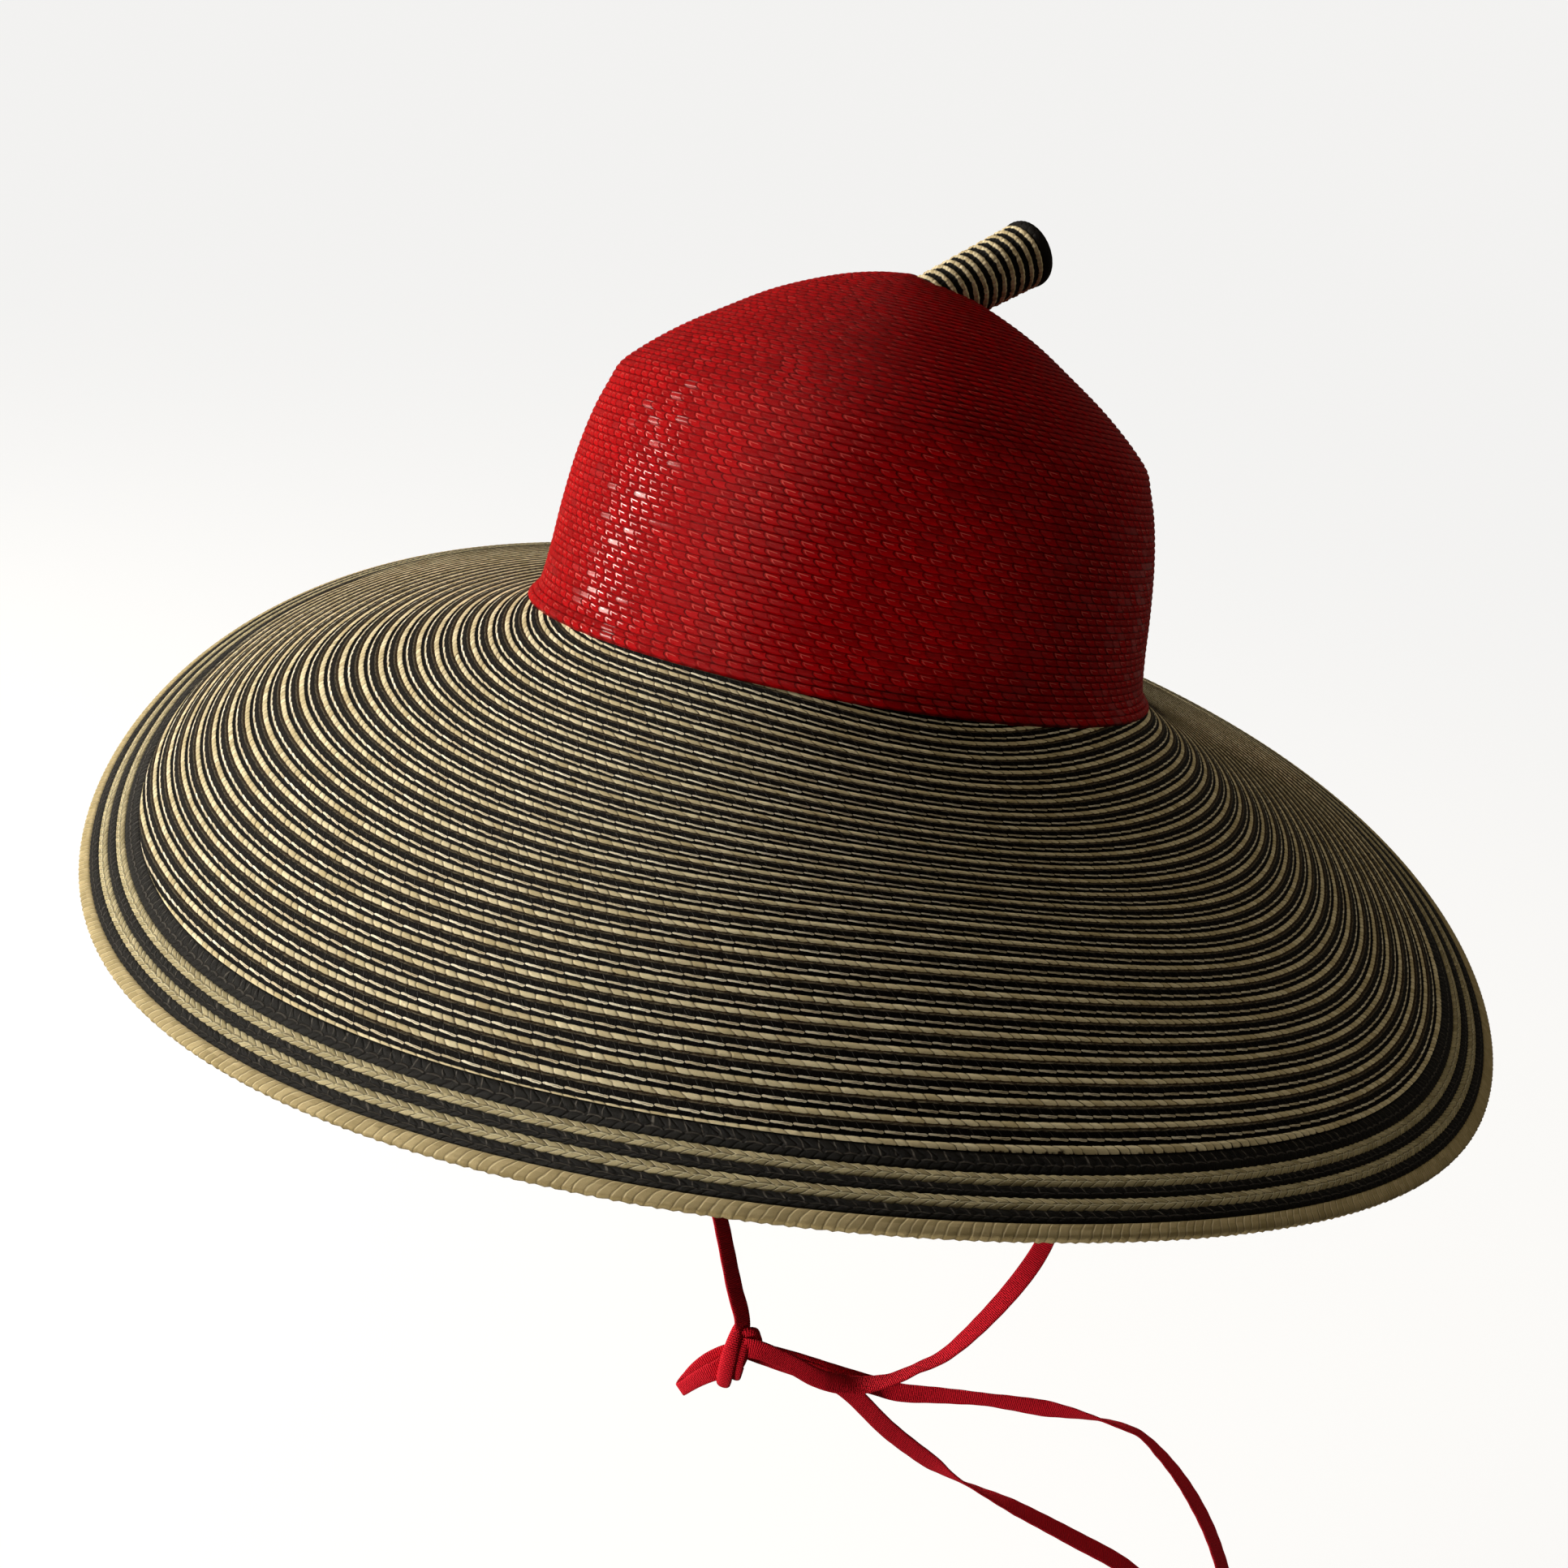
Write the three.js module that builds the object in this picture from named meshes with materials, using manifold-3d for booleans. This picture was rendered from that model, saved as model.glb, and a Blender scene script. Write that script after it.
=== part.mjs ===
// Wide-brim straw hat: a red braid crown with a striped stem on its tip, a two-tone spiral braid
// brim with plain black and natural rows at its edge, and a red knit tie in a half bow below it.
// Millimetres, +Z up with the rim level, -Y the hat's front, origin in the middle of the head opening.
import * as THREE from 'three';
import { mergeVertices } from 'three/addons/utils/BufferGeometryUtils.js';
import Module from 'manifold-3d';

// Driving dimensions
const GAP = 0.3;                 // clear space between neighbouring pieces
const WALL = 2;                  // lapped straw braid
const AROUND = 60;               // facets round the hat
const CROWN_HALF_WIDTH = 86.6;   // outside, at the foot of the crown
const CROWN_OVAL = 1.17;         // front to back over side to side, at the foot
const CROWN_HEIGHT = 107.5;
const CROWN_LEAN_BACK = 9.6;     // degrees from the rim's upright
const CROWN_LEAN_SIDE = -5.3;
const TIP_SHIFT = -4.9;          // the tip sits this far to the side of the foot's middle
const BRIM_WIDTH = 141.2;        // along the slope, from the crown to the rim
const BRIM_STEPS = 8;
const CROWN_CLEARANCE = 0.5;     // the brim's underside starts this far out from the leaning crown

// The crown's outside, in the frame of its own foot
const CROWN_PROFILE = [
  { height: 0, halfWidth: CROWN_HALF_WIDTH },
  { height: 5, halfWidth: 84.8 },
  { height: 14, halfWidth: 83.7 },
  { height: 28, halfWidth: 82.8 },
  { height: 42, halfWidth: 81.4 },
  { height: 54, halfWidth: 79.2 },
  { height: 62, halfWidth: 76.8 },
  { height: 67, halfWidth: 75 },
  { height: 72, halfWidth: 70.6 },
  { height: 80, halfWidth: 61.4 },
  { height: 88, halfWidth: 49.9 },
  { height: 96, halfWidth: 37 },
  { height: 103, halfWidth: 20.8 },
  { height: 106, halfWidth: 10 },
];

// The brim's downward slope in degrees, at the crown and at the rim, by compass heading from +X
const BRIM_SLOPES = [
  { heading: 0, atCrown: 35, atRim: 24 },
  { heading: 45, atCrown: 29.5, atRim: 23.5 },
  { heading: 90, atCrown: 15.5, atRim: 17.5 },
  { heading: 135, atCrown: 8, atRim: 16 },
  { heading: 180, atCrown: 13, atRim: 24 },
  { heading: 225, atCrown: 29, atRim: 39 },
  { heading: 270, atCrown: 31.5, atRim: 33.5 },
  { heading: 315, atCrown: 28.5, atRim: 20.5 },
];

// The rows that finish the brim, outward from the two-tone field
const EDGE_ROWS = [
  { name: 'black_band', width: 4.9, colour: 'black' },
  { name: 'natural_row_inner', width: 2.8, colour: 'natural' },
  { name: 'black_row_inner', width: 2.7, colour: 'black' },
  { name: 'natural_row_outer', width: 2.8, colour: 'natural' },
  { name: 'black_row_outer', width: 3, colour: 'black' },
  { name: 'natural_rim_row', width: 3.6, colour: 'natural' },
];

// Striped stem: a braid wound round a core, sewn on beside the tip and leaning back
const STEM_FOOT = new THREE.Vector3(-3.6, 23.5, 102.3);
const STEM_HEADING = 74;        // degrees, and its rise above level below
const STEM_RISE = 25.7;
const STEM_LENGTH = 32;
const STEM_FOOT_RADIUS = 8.4;
const STEM_END_RADIUS = 9.3;
const STEM_ROOT = 14;            // how far it reaches below the crown before it is cut to fit
const STEM_END_LENGTH = 5;       // the plain black end
const STEM_SIDES = 24;

// Knit tie, a flat ribbon
const TIE_WIDTH = 6;
const TIE_THICKNESS = 1.2;
const TIE_STEP = 8;              // length of one straight stretch of the solid
const TIE_FRONT = new THREE.Vector3(0.49, -0.77, 0.4);
const LOOP_THICKNESS = 3;        // two layers and the air between them
const KNOT = new THREE.Vector3(47, -56, -205);
const KNOT_RADII = new THREE.Vector3(6, 5, 7.5);

const MATERIALS = {
  red: new THREE.MeshStandardMaterial({ color: 0xa80f14, roughness: 0.35, metalness: 0 }),
  natural: new THREE.MeshStandardMaterial({ color: 0xc2b088, roughness: 0.5, metalness: 0 }),
  black: new THREE.MeshStandardMaterial({ color: 0x15130f, roughness: 0.45, metalness: 0 }),
  twoTone: new THREE.MeshStandardMaterial({ color: 0x6e6650, roughness: 0.5, metalness: 0 }),
  knit: new THREE.MeshStandardMaterial({ color: 0xb01420, roughness: 0.85, metalness: 0 }),
};

const wasm = await Module();
wasm.setup();

const radians = THREE.MathUtils.degToRad;
const crownTurn = new THREE.Matrix4()
  .makeRotationY(radians(CROWN_LEAN_SIDE))
  .multiply(new THREE.Matrix4().makeRotationX(-radians(CROWN_LEAN_BACK)));

// Bodies made of rings

// A closed skin over rings of equal length; a ring list that closes on itself makes a hoop
function skin(rings, closed) {
  const count = rings[0].length;
  const positions = rings.flat().flatMap((p) => [p.x, p.y, p.z]);
  const index = [];
  const last = closed ? rings.length : rings.length - 1;
  for (let j = 0; j < last; j += 1) {
    const next = (j + 1) % rings.length;
    for (let i = 0; i < count; i += 1) {
      const side = (i + 1) % count;
      const a = j * count + i;
      const b = j * count + side;
      const c = next * count + side;
      const d = next * count + i;
      index.push(a, b, c, a, c, d);
    }
  }
  const geometry = new THREE.BufferGeometry();
  geometry.setAttribute('position', new THREE.Float32BufferAttribute(positions, 3));
  geometry.setIndex(index);
  return geometry;
}

// Closes the first and last ring of an open skin with a fan to a middle point
function capped(geometry, count, first, last) {
  const positions = [...geometry.getAttribute('position').array];
  const index = [...geometry.index.array];
  const end = positions.length / 3;
  const lastRing = end - count;
  positions.push(first.x, first.y, first.z, last.x, last.y, last.z);
  for (let i = 0; i < count; i += 1) {
    const side = (i + 1) % count;
    index.push(side, i, end);
    index.push(lastRing + i, lastRing + side, end + 1);
  }
  geometry.setAttribute('position', new THREE.Float32BufferAttribute(positions, 3));
  geometry.setIndex(index);
  return geometry;
}

function headings() {
  return Array.from({ length: AROUND }, (_, i) => (2 * Math.PI * i) / AROUND);
}

// Crown

// How oval the crown is at a height: the foot fits the head, the tip is round
function ovalAt(height) {
  const share = Math.max(height, 0) / CROWN_HEIGHT;
  return CROWN_OVAL + (1 - CROWN_OVAL) * share ** 1.5;
}

function crownRing(height, halfWidth, halfDepth) {
  return headings().map((angle) => {
    const x = (TIP_SHIFT * height) / CROWN_HEIGHT + halfWidth * Math.cos(angle);
    return new THREE.Vector3(x, halfDepth * Math.sin(angle), height).applyMatrix4(crownTurn);
  });
}

function crownPole(height) {
  return new THREE.Vector3((TIP_SHIFT * height) / CROWN_HEIGHT, 0, height).applyMatrix4(crownTurn);
}

// The profile moved out along its own normal by a distance, or in where that is negative
function offsetProfile(distance) {
  return CROWN_PROFILE.map((row, i) => {
    const below = CROWN_PROFILE[Math.max(i - 1, 0)];
    const above = CROWN_PROFILE[i + 1] ?? { height: CROWN_HEIGHT, halfWidth: 0 };
    const rise = above.height - below.height;
    const run = below.halfWidth - above.halfWidth;
    const length = Math.hypot(rise, run);
    const out = (distance * rise) / length;
    return {
      height: i === 0 ? row.height : row.height + (distance * run) / length,
      halfWidth: row.halfWidth + out,
      halfDepth: row.halfWidth * ovalAt(row.height) + out,
    };
  });
}

// The rings of the crown from its lower edge to just below the tip, at an offset
function crownRings(distance) {
  const rows = offsetProfile(distance);
  const foot = { ...rows[0], height: -WALL };
  return [foot, ...rows].map((row) => crownRing(row.height, row.halfWidth, row.halfDepth));
}

// The wall with its open foot: up the outside, over the tip, down the inside
function crownShell() {
  const outside = crownRings(0);
  const inside = crownRings(-WALL).reverse();
  const outer = skin(outside, false);
  const count = AROUND;
  const positions = [...outer.getAttribute('position').array];
  const index = [...outer.index.array];
  const innerStart = positions.length / 3;
  const inner = skin(inside, false);
  positions.push(...inner.getAttribute('position').array);
  index.push(...[...inner.index.array].map((k) => k + innerStart));
  const tips = positions.length / 3;
  const top = crownPole(CROWN_HEIGHT);
  const underTop = crownPole(CROWN_HEIGHT - WALL);
  positions.push(top.x, top.y, top.z, underTop.x, underTop.y, underTop.z);
  const outerLast = innerStart - count;
  const innerLast = tips - count;
  for (let i = 0; i < count; i += 1) {
    const side = (i + 1) % count;
    index.push(outerLast + i, outerLast + side, tips);
    index.push(innerStart + side, innerStart + i, tips + 1);
    index.push(innerLast + i, innerLast + side, side, innerLast + i, side, i);
  }
  const geometry = new THREE.BufferGeometry();
  geometry.setAttribute('position', new THREE.Float32BufferAttribute(positions, 3));
  geometry.setIndex(index);
  return geometry;
}

// The crown as a full body, a little larger, that the stem's foot is cut to
function crownBody(distance) {
  const rings = crownRings(distance);
  return capped(skin(rings, false), AROUND, crownPole(-WALL), crownPole(CROWN_HEIGHT + distance));
}

// Brim

// A smooth value round the hat through the table's rows
function roundTheHat(column, angle) {
  const count = BRIM_SLOPES.length;
  let value = 0;
  for (const row of BRIM_SLOPES) {
    const apart = angle - radians(row.heading);
    let weight = 1;
    for (let wave = 1; wave < count / 2; wave += 1) {
      weight += 2 * Math.cos(wave * apart);
    }
    value += (row[column] * weight) / count;
  }
  return radians(value);
}

// A point of the brim's upper side at a distance from the crown, sunk below it by a depth
function brimPoint(angle, distance, depth) {
  const halfWidth = CROWN_HALF_WIDTH + GAP;
  const halfDepth = CROWN_HALF_WIDTH * CROWN_OVAL + GAP;
  const foot = new THREE.Vector3(halfWidth * Math.cos(angle), halfDepth * Math.sin(angle), 0);
  foot.applyMatrix4(crownTurn);
  const out = new THREE.Vector3(Math.cos(angle) / halfWidth, Math.sin(angle) / halfDepth, 0);
  out.normalize();
  const atCrown = roundTheHat('atCrown', angle);
  const bend = roundTheHat('atRim', angle) - atCrown;
  const slope = atCrown + (bend * distance) / BRIM_WIDTH;
  const radius = BRIM_WIDTH / (Math.abs(bend) < 1e-4 ? 1e-4 : bend);
  const across = radius * (Math.sin(slope) - Math.sin(atCrown));
  const drop = radius * (Math.cos(atCrown) - Math.cos(slope));
  const reach = Math.max(across - depth * Math.sin(slope), (CROWN_CLEARANCE * depth) / WALL);
  return foot.addScaledVector(out, reach).add(new THREE.Vector3(0, 0, -drop - depth * Math.cos(slope)));
}

// A hoop of the brim between two distances from the crown
function brimHoop(from, to, steps) {
  const outward = Array.from({ length: steps + 1 }, (_, i) => from + ((to - from) * i) / steps);
  const path = [
    ...outward.map((distance) => ({ distance, depth: WALL })),
    ...[...outward].reverse().map((distance) => ({ distance, depth: 0 })),
  ];
  return skin(path.map((p) => headings().map((angle) => brimPoint(angle, p.distance, p.depth))), true);
}

// Cutting one body by another

function solid(geometry) {
  const bare = geometry.index ? geometry.toNonIndexed() : geometry.clone();
  bare.deleteAttribute('normal');
  bare.deleteAttribute('uv');
  const merged = mergeVertices(bare, 1e-4);
  const mesh = new wasm.Mesh({
    numProp: 3,
    vertProperties: new Float32Array(merged.getAttribute('position').array),
    triVerts: new Uint32Array(merged.index.array),
  });
  return new wasm.Manifold(mesh);
}

function geometryOf(body) {
  const mesh = body.getMesh();
  const geometry = new THREE.BufferGeometry();
  geometry.setAttribute('position', new THREE.BufferAttribute(mesh.vertProperties, 3));
  geometry.setIndex(new THREE.BufferAttribute(mesh.triVerts, 1));
  return geometry;
}

// Stem

// A turned body along the stem's axis, from rows of distance and radius
function turned(rows) {
  const outline = rows.map((row) => new THREE.Vector2(row.radius, row.along));
  const geometry = new THREE.LatheGeometry(outline, STEM_SIDES);
  geometry.rotateX(Math.PI / 2);
  const axis = new THREE.Vector3(
    Math.cos(radians(STEM_RISE)) * Math.cos(radians(STEM_HEADING)),
    Math.cos(radians(STEM_RISE)) * Math.sin(radians(STEM_HEADING)),
    Math.sin(radians(STEM_RISE)),
  );
  const turn = new THREE.Quaternion().setFromUnitVectors(new THREE.Vector3(0, 0, 1), axis);
  geometry.applyQuaternion(turn);
  geometry.translate(STEM_FOOT.x, STEM_FOOT.y, STEM_FOOT.z);
  return geometry;
}

function stemRadius(along) {
  return STEM_FOOT_RADIUS + ((STEM_END_RADIUS - STEM_FOOT_RADIUS) * along) / STEM_LENGTH;
}

function stemWinding() {
  const end = STEM_LENGTH - STEM_END_LENGTH - GAP;
  const rough = turned([
    { along: -STEM_ROOT, radius: 0 },
    { along: -STEM_ROOT, radius: stemRadius(0) },
    { along: 0, radius: stemRadius(0) },
    { along: end, radius: stemRadius(end) },
    { along: end, radius: 0 },
  ]);
  return geometryOf(solid(rough).subtract(solid(crownBody(GAP))));
}

function stemEnd() {
  const start = STEM_LENGTH - STEM_END_LENGTH;
  return turned([
    { along: start, radius: 0 },
    { along: start, radius: stemRadius(start) },
    { along: STEM_LENGTH - 2, radius: STEM_END_RADIUS },
    { along: STEM_LENGTH - 0.7, radius: STEM_END_RADIUS - 1 },
    { along: STEM_LENGTH, radius: STEM_END_RADIUS - 3 },
    { along: STEM_LENGTH, radius: 0 },
  ]);
}

// Tie

// A ribbon's route. Its flat side looks to the tie's front, turned about the route by each row's angle
class RibbonRoute extends THREE.CatmullRomCurve3 {
  constructor(rows) {
    super(rows.map((row) => new THREE.Vector3(...row.at)), false, 'centripetal');
    this.turns = rows.map((row) => radians(row.turn));
  }

  turnAt(share) {
    const place = this.getUtoTmapping(share) * (this.turns.length - 1);
    const before = Math.min(Math.floor(place), this.turns.length - 2);
    return THREE.MathUtils.lerp(this.turns[before], this.turns[before + 1], place - before);
  }

  computeFrenetFrames(segments) {
    const tangents = [];
    const normals = [];
    const binormals = [];
    for (let i = 0; i <= segments; i += 1) {
      const tangent = this.getTangentAt(i / segments);
      const face = TIE_FRONT.clone();
      face.addScaledVector(tangent, -face.dot(tangent)).normalize();
      face.applyAxisAngle(tangent, this.turnAt(i / segments));
      tangents.push(tangent);
      normals.push(new THREE.Vector3().crossVectors(face, tangent));
      binormals.push(face);
    }
    return { tangents, normals, binormals };
  }
}

// The flat section with its corners cut
function ribbonSection(width, thickness) {
  const corner = thickness / 3;
  const x = width / 2;
  const y = thickness / 2;
  return new THREE.Shape([
    new THREE.Vector2(x - corner, -y),
    new THREE.Vector2(x, -y + corner),
    new THREE.Vector2(x, y - corner),
    new THREE.Vector2(x - corner, y),
    new THREE.Vector2(-x + corner, y),
    new THREE.Vector2(-x, y - corner),
    new THREE.Vector2(-x, -y + corner),
    new THREE.Vector2(-x + corner, -y),
  ]);
}

function ribbon(rows, thickness) {
  const route = new RibbonRoute(rows);
  const steps = Math.max(4, Math.round(route.getLength() / TIE_STEP));
  const section = ribbonSection(TIE_WIDTH, thickness);
  return new THREE.ExtrudeGeometry(section, { steps, extrudePath: route });
}

// A plain round body in the knot's place, grown by a margin
function knotBody(margin) {
  const geometry = new THREE.SphereGeometry(1, 16, 10);
  geometry.rotateX(Math.PI / 2);
  geometry.scale(KNOT_RADII.x + margin, KNOT_RADII.y + margin, KNOT_RADII.z + margin);
  geometry.translate(KNOT.x, KNOT.y, KNOT.z);
  return geometry;
}

function ribbonFromKnot(rows, thickness) {
  return geometryOf(solid(ribbon(rows, thickness)).subtract(solid(knotBody(GAP))));
}

// Sewn inside the crown's wall on the left, drawn straight down to the knot
const TIE_LEFT = [
  { at: [-77.6, -25.3, 7], turn: 106 },
  { at: [-78.6, -27.5, -3], turn: 106 },
  { at: [-76.8, -28.6, -14], turn: 100 },
  { at: [-43, -36, -65], turn: 75 },
  { at: [-8, -43, -117], turn: 55 },
  { at: [27, -50, -168], turn: 42 },
  { at: [39.5, -53.5, -186], turn: 40 },
  { at: [44.5, -54, -194], turn: 40 },
  { at: [47, -55.5, -203], turn: 40 },
];

// Sewn inside on the right, hanging slack, half twisted, and rising again to the knot
const TIE_RIGHT = [
  { at: [73.8, 28.4, 13], turn: -74 },
  { at: [78.3, 27.8, 2], turn: -74 },
  { at: [80.3, 27.8, -10], turn: -70 },
  { at: [87, 30, -60], turn: -55 },
  { at: [94, 33, -120], turn: -35 },
  { at: [98, 34, -155], turn: -18 },
  { at: [99, 31, -175], turn: -5 },
  { at: [97, 19, -190], turn: 0 },
  { at: [90, -2, -208], turn: 52 },
  { at: [85, -10, -212], turn: 82 },
  { at: [80, -18, -215], turn: 140 },
  { at: [73, -27, -216], turn: 175 },
  { at: [66, -37, -213], turn: 180 },
  { at: [59, -46, -208], turn: 180 },
  { at: [51.5, -53, -201.5], turn: 180 },
  { at: [47, -56, -204], turn: 180 },
];

// The short end of the half bow, folded double
const TIE_LOOP = [
  { at: [46, -56, -205], turn: 0 },
  { at: [41.5, -60.5, -210.5], turn: 0 },
  { at: [38.5, -63.5, -215], turn: 0 },
  { at: [35.5, -66.5, -219.5], turn: 0 },
];

// The two free ends, side by side behind the slack strap and then apart, each half twisted
const TIE_TAIL_A = [
  { at: [48, -53, -204], turn: 0 },
  { at: [57, -42, -211.5], turn: 0 },
  { at: [64.5, -32, -217], turn: 0 },
  { at: [70.5, -25.5, -221.5], turn: 0 },
  { at: [83, -14.5, -236.5], turn: 5 },
  { at: [94.5, -3, -249], turn: 20 },
  { at: [101, 3, -255], turn: 62 },
  { at: [109.5, 10, -260], turn: 90 },
  { at: [119, 18, -265.5], turn: 120 },
  { at: [136, 33, -276.8], turn: 136 },
  { at: [152, 48, -289], turn: 140 },
  { at: [164, 59, -303], turn: 142 },
];

const TIE_TAIL_B = [
  { at: [46, -52, -203], turn: 0 },
  { at: [55, -38, -209], turn: 0 },
  { at: [65, -26, -216], turn: 0 },
  { at: [74, -16, -223], turn: 0 },
  { at: [81, -10, -225], turn: 0 },
  { at: [91, -1, -225], turn: 20 },
  { at: [103, 8, -224], turn: 35 },
  { at: [118, 19, -224], turn: 15 },
  { at: [128, 26.5, -224.7], turn: 50 },
  { at: [137, 33, -226], turn: 88 },
  { at: [144, 39, -229], turn: 95 },
  { at: [150, 44, -235], turn: 113 },
  { at: [157, 50, -244], turn: 124 },
  { at: [164, 56, -255], turn: 135 },
  { at: [171, 61, -267], turn: 139 },
  { at: [178, 66, -282], turn: 142 },
  { at: [184, 71, -298], turn: 142 },
];

// Assembly

const group = new THREE.Group();

function add(name, geometry, material) {
  const mesh = new THREE.Mesh(geometry, material);
  mesh.name = name;
  group.add(mesh);
}

add('crown', crownShell(), MATERIALS.red);

const edgeWidth = EDGE_ROWS.reduce((sum, row) => sum + row.width, 0);
const fieldWidth = BRIM_WIDTH - edgeWidth;
add('brim_field', brimHoop(0, fieldWidth - GAP, BRIM_STEPS), MATERIALS.twoTone);

let reached = fieldWidth;
for (const row of EDGE_ROWS) {
  const end = reached + row.width;
  const isRim = row === EDGE_ROWS[EDGE_ROWS.length - 1];
  add(row.name, brimHoop(reached, isRim ? end : end - GAP, 1), MATERIALS[row.colour]);
  reached = end;
}

add('stem_winding', stemWinding(), MATERIALS.twoTone);
add('stem_end', stemEnd(), MATERIALS.black);

add('tie_knot', knotBody(0), MATERIALS.knit);
add('tie_left', ribbonFromKnot(TIE_LEFT, TIE_THICKNESS), MATERIALS.knit);
add('tie_right', ribbonFromKnot(TIE_RIGHT, TIE_THICKNESS), MATERIALS.knit);
add('tie_loop', ribbonFromKnot(TIE_LOOP, LOOP_THICKNESS), MATERIALS.knit);
add('tie_tail_a', ribbonFromKnot(TIE_TAIL_A, TIE_THICKNESS), MATERIALS.knit);
add('tie_tail_b', ribbonFromKnot(TIE_TAIL_B, TIE_THICKNESS), MATERIALS.knit);

export default group;
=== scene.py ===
import math

import bmesh
import bpy
import numpy as np
from mathutils import Matrix, Vector


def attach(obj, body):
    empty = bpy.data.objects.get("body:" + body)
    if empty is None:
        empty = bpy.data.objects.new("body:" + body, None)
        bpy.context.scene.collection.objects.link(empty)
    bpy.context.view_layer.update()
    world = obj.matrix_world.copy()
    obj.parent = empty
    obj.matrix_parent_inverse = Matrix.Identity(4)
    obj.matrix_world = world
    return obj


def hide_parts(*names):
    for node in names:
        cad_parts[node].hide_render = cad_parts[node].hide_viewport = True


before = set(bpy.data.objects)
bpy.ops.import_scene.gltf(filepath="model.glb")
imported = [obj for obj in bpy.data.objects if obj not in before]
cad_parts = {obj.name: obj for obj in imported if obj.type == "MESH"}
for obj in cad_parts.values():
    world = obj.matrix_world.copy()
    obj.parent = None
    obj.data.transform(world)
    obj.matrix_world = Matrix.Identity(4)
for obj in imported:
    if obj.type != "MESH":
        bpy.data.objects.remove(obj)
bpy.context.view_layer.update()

# Camera. It stands about half a metre off, in front of the hat and to the wearer's left, and looks
# down on the brim, so that the lit side of the crown is on the left and the tie shows below the rim.
CAMERA_PLACE = (0.2669, -0.4382, 0.1749)
CAMERA_RIGHT = Vector((0.78643, 0.59187, 0.17670))
CAMERA_UP = Vector((-0.37231, 0.22596, 0.90018))
CAMERA_BACK = Vector((0.49286, -0.77372, 0.39806))
CAMERA_LENS = 41.9
CAMERA_SENSOR = 36

camera = bpy.data.objects.new("camera", bpy.data.cameras.new("camera"))
camera.data.lens = CAMERA_LENS
camera.data.sensor_width = CAMERA_SENSOR
camera.data.clip_start = 0.01
camera_turn = Matrix((CAMERA_RIGHT, CAMERA_UP, CAMERA_BACK)).transposed()
camera.matrix_world = Matrix.Translation(CAMERA_PLACE) @ camera_turn.to_4x4()
bpy.context.scene.collection.objects.link(camera)
bpy.context.scene.camera = camera


# Crown. One long plait of lacquered red straw, sewn round from the tip to the foot in about eighty
# rows, each lapping the one below it like a tile. It keeps its shape by the sewing alone, leans back a
# little, and ends in an open foot that laps the brim.
MM = 0.001
CROWN_HEIGHT = 107.5
CROWN_HALF_WIDTH = 86.6
CROWN_OVAL = 1.17  # its length at the foot against its width
CROWN_GIRTH = 1.08  # the way round it against the way round a circle as wide
CROWN_LEAN_SIDE = -5.3  # degrees about Y
CROWN_LEAN_BACK = -9.6  # degrees about X
TIP_SHIFT = -4.9
WALL = 2
# Up the slope from the foot: height, and half of the width
CROWN_PROFILE = [
    (-2, 86.6), (0, 86.6), (5, 84.8), (14, 83.7), (28, 82.8), (42, 81.4), (54, 79.2), (62, 76.8),
    (67, 75), (72, 70.6), (80, 61.4), (88, 49.9), (96, 37), (103, 20.8), (106, 10), (107.5, 0),
]
CROWN_ROWS = 82
CROWN_STRAW = 4.5  # length of one straw's show in the plait
TIP_STRAWS = 6  # the fewest in one row
FOOT_SLANT = 2.0  # how far up the slope the first row starts
CROWN_LIP = 0.9  # how far the first row stands out over the brim
CROWN_LIP_ROWS = 2
# Up one row from its lower edge: share of the row, and how proud it stands
CROWN_ROW_RISE = [(0.0, 0.0), (0.1, 0.22), (0.36, 0.28), (0.74, 0.17)]
# Round the edge of the foot, from inside to outside: distance up the slope, lift and row
CROWN_EDGE = [(0.3, -WALL + 0.1, 0.45), (0, -WALL + 0.6, 0.4), (0, -0.4, 0.3), (0.3, 0, 0.2)]
INSIDE_RELIEF = 0.25  # how far a row shows on the inner side
CROWN_AROUND = 230
ROW_INSET = 0.004  # keeps a corner's place in the plait inside its own row

RED_DEEP, RED_BRIGHT = (0.13, 0.0003, 0.001, 1), (0.62, 0.001, 0.004, 1)
# Painted shade for the slits between straws and the seams under the rows' lips
RED_SLIT_SHADE = (0.03, 0.0, 0.0, 1)
# Painted highlight: a lighter red for glints along the straws' edges
RED_GLINT = (0.98, 0.17, 0.14, 1)

crown_turn = np.array(
    Matrix.Rotation(math.radians(CROWN_LEAN_SIDE), 3, "Y")
    @ Matrix.Rotation(math.radians(CROWN_LEAN_BACK), 3, "X")
)


def curve_through(points, spans=24):
    """A smooth line through the points, as many small steps: its points, how far along the list
    each one lies, and how long the line is up to it."""
    given = np.array(points, float)
    given = np.vstack([2 * given[0] - given[1], given, 2 * given[-1] - given[-2]])
    share = np.linspace(0, 1, spans, endpoint=False)[:, None]
    line, place = [], []
    for i in range(len(given) - 3):
        a, b, c, d = given[i : i + 4]
        before, here, after = (np.linalg.norm(q - p) ** 0.5 for p, q in ((a, b), (b, c), (c, d)))
        leave = ((b - a) / before - (c - a) / (before + here) + (c - b) / here) * here
        reach = ((c - b) / here - (d - b) / (here + after) + (d - c) / after) * here
        bend = -3 * b + 3 * c - 2 * leave - reach
        line.append(b + leave * share + bend * share**2 + (2 * b - 2 * c + leave + reach) * share**3)
        place.append(i + share[:, 0])
    line = np.vstack([*line, given[-2]])
    place = np.append(np.concatenate(place), len(given) - 3)
    length = np.append(0, np.cumsum(np.linalg.norm(np.diff(line, axis=0), axis=1)))
    return line, place, length


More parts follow.
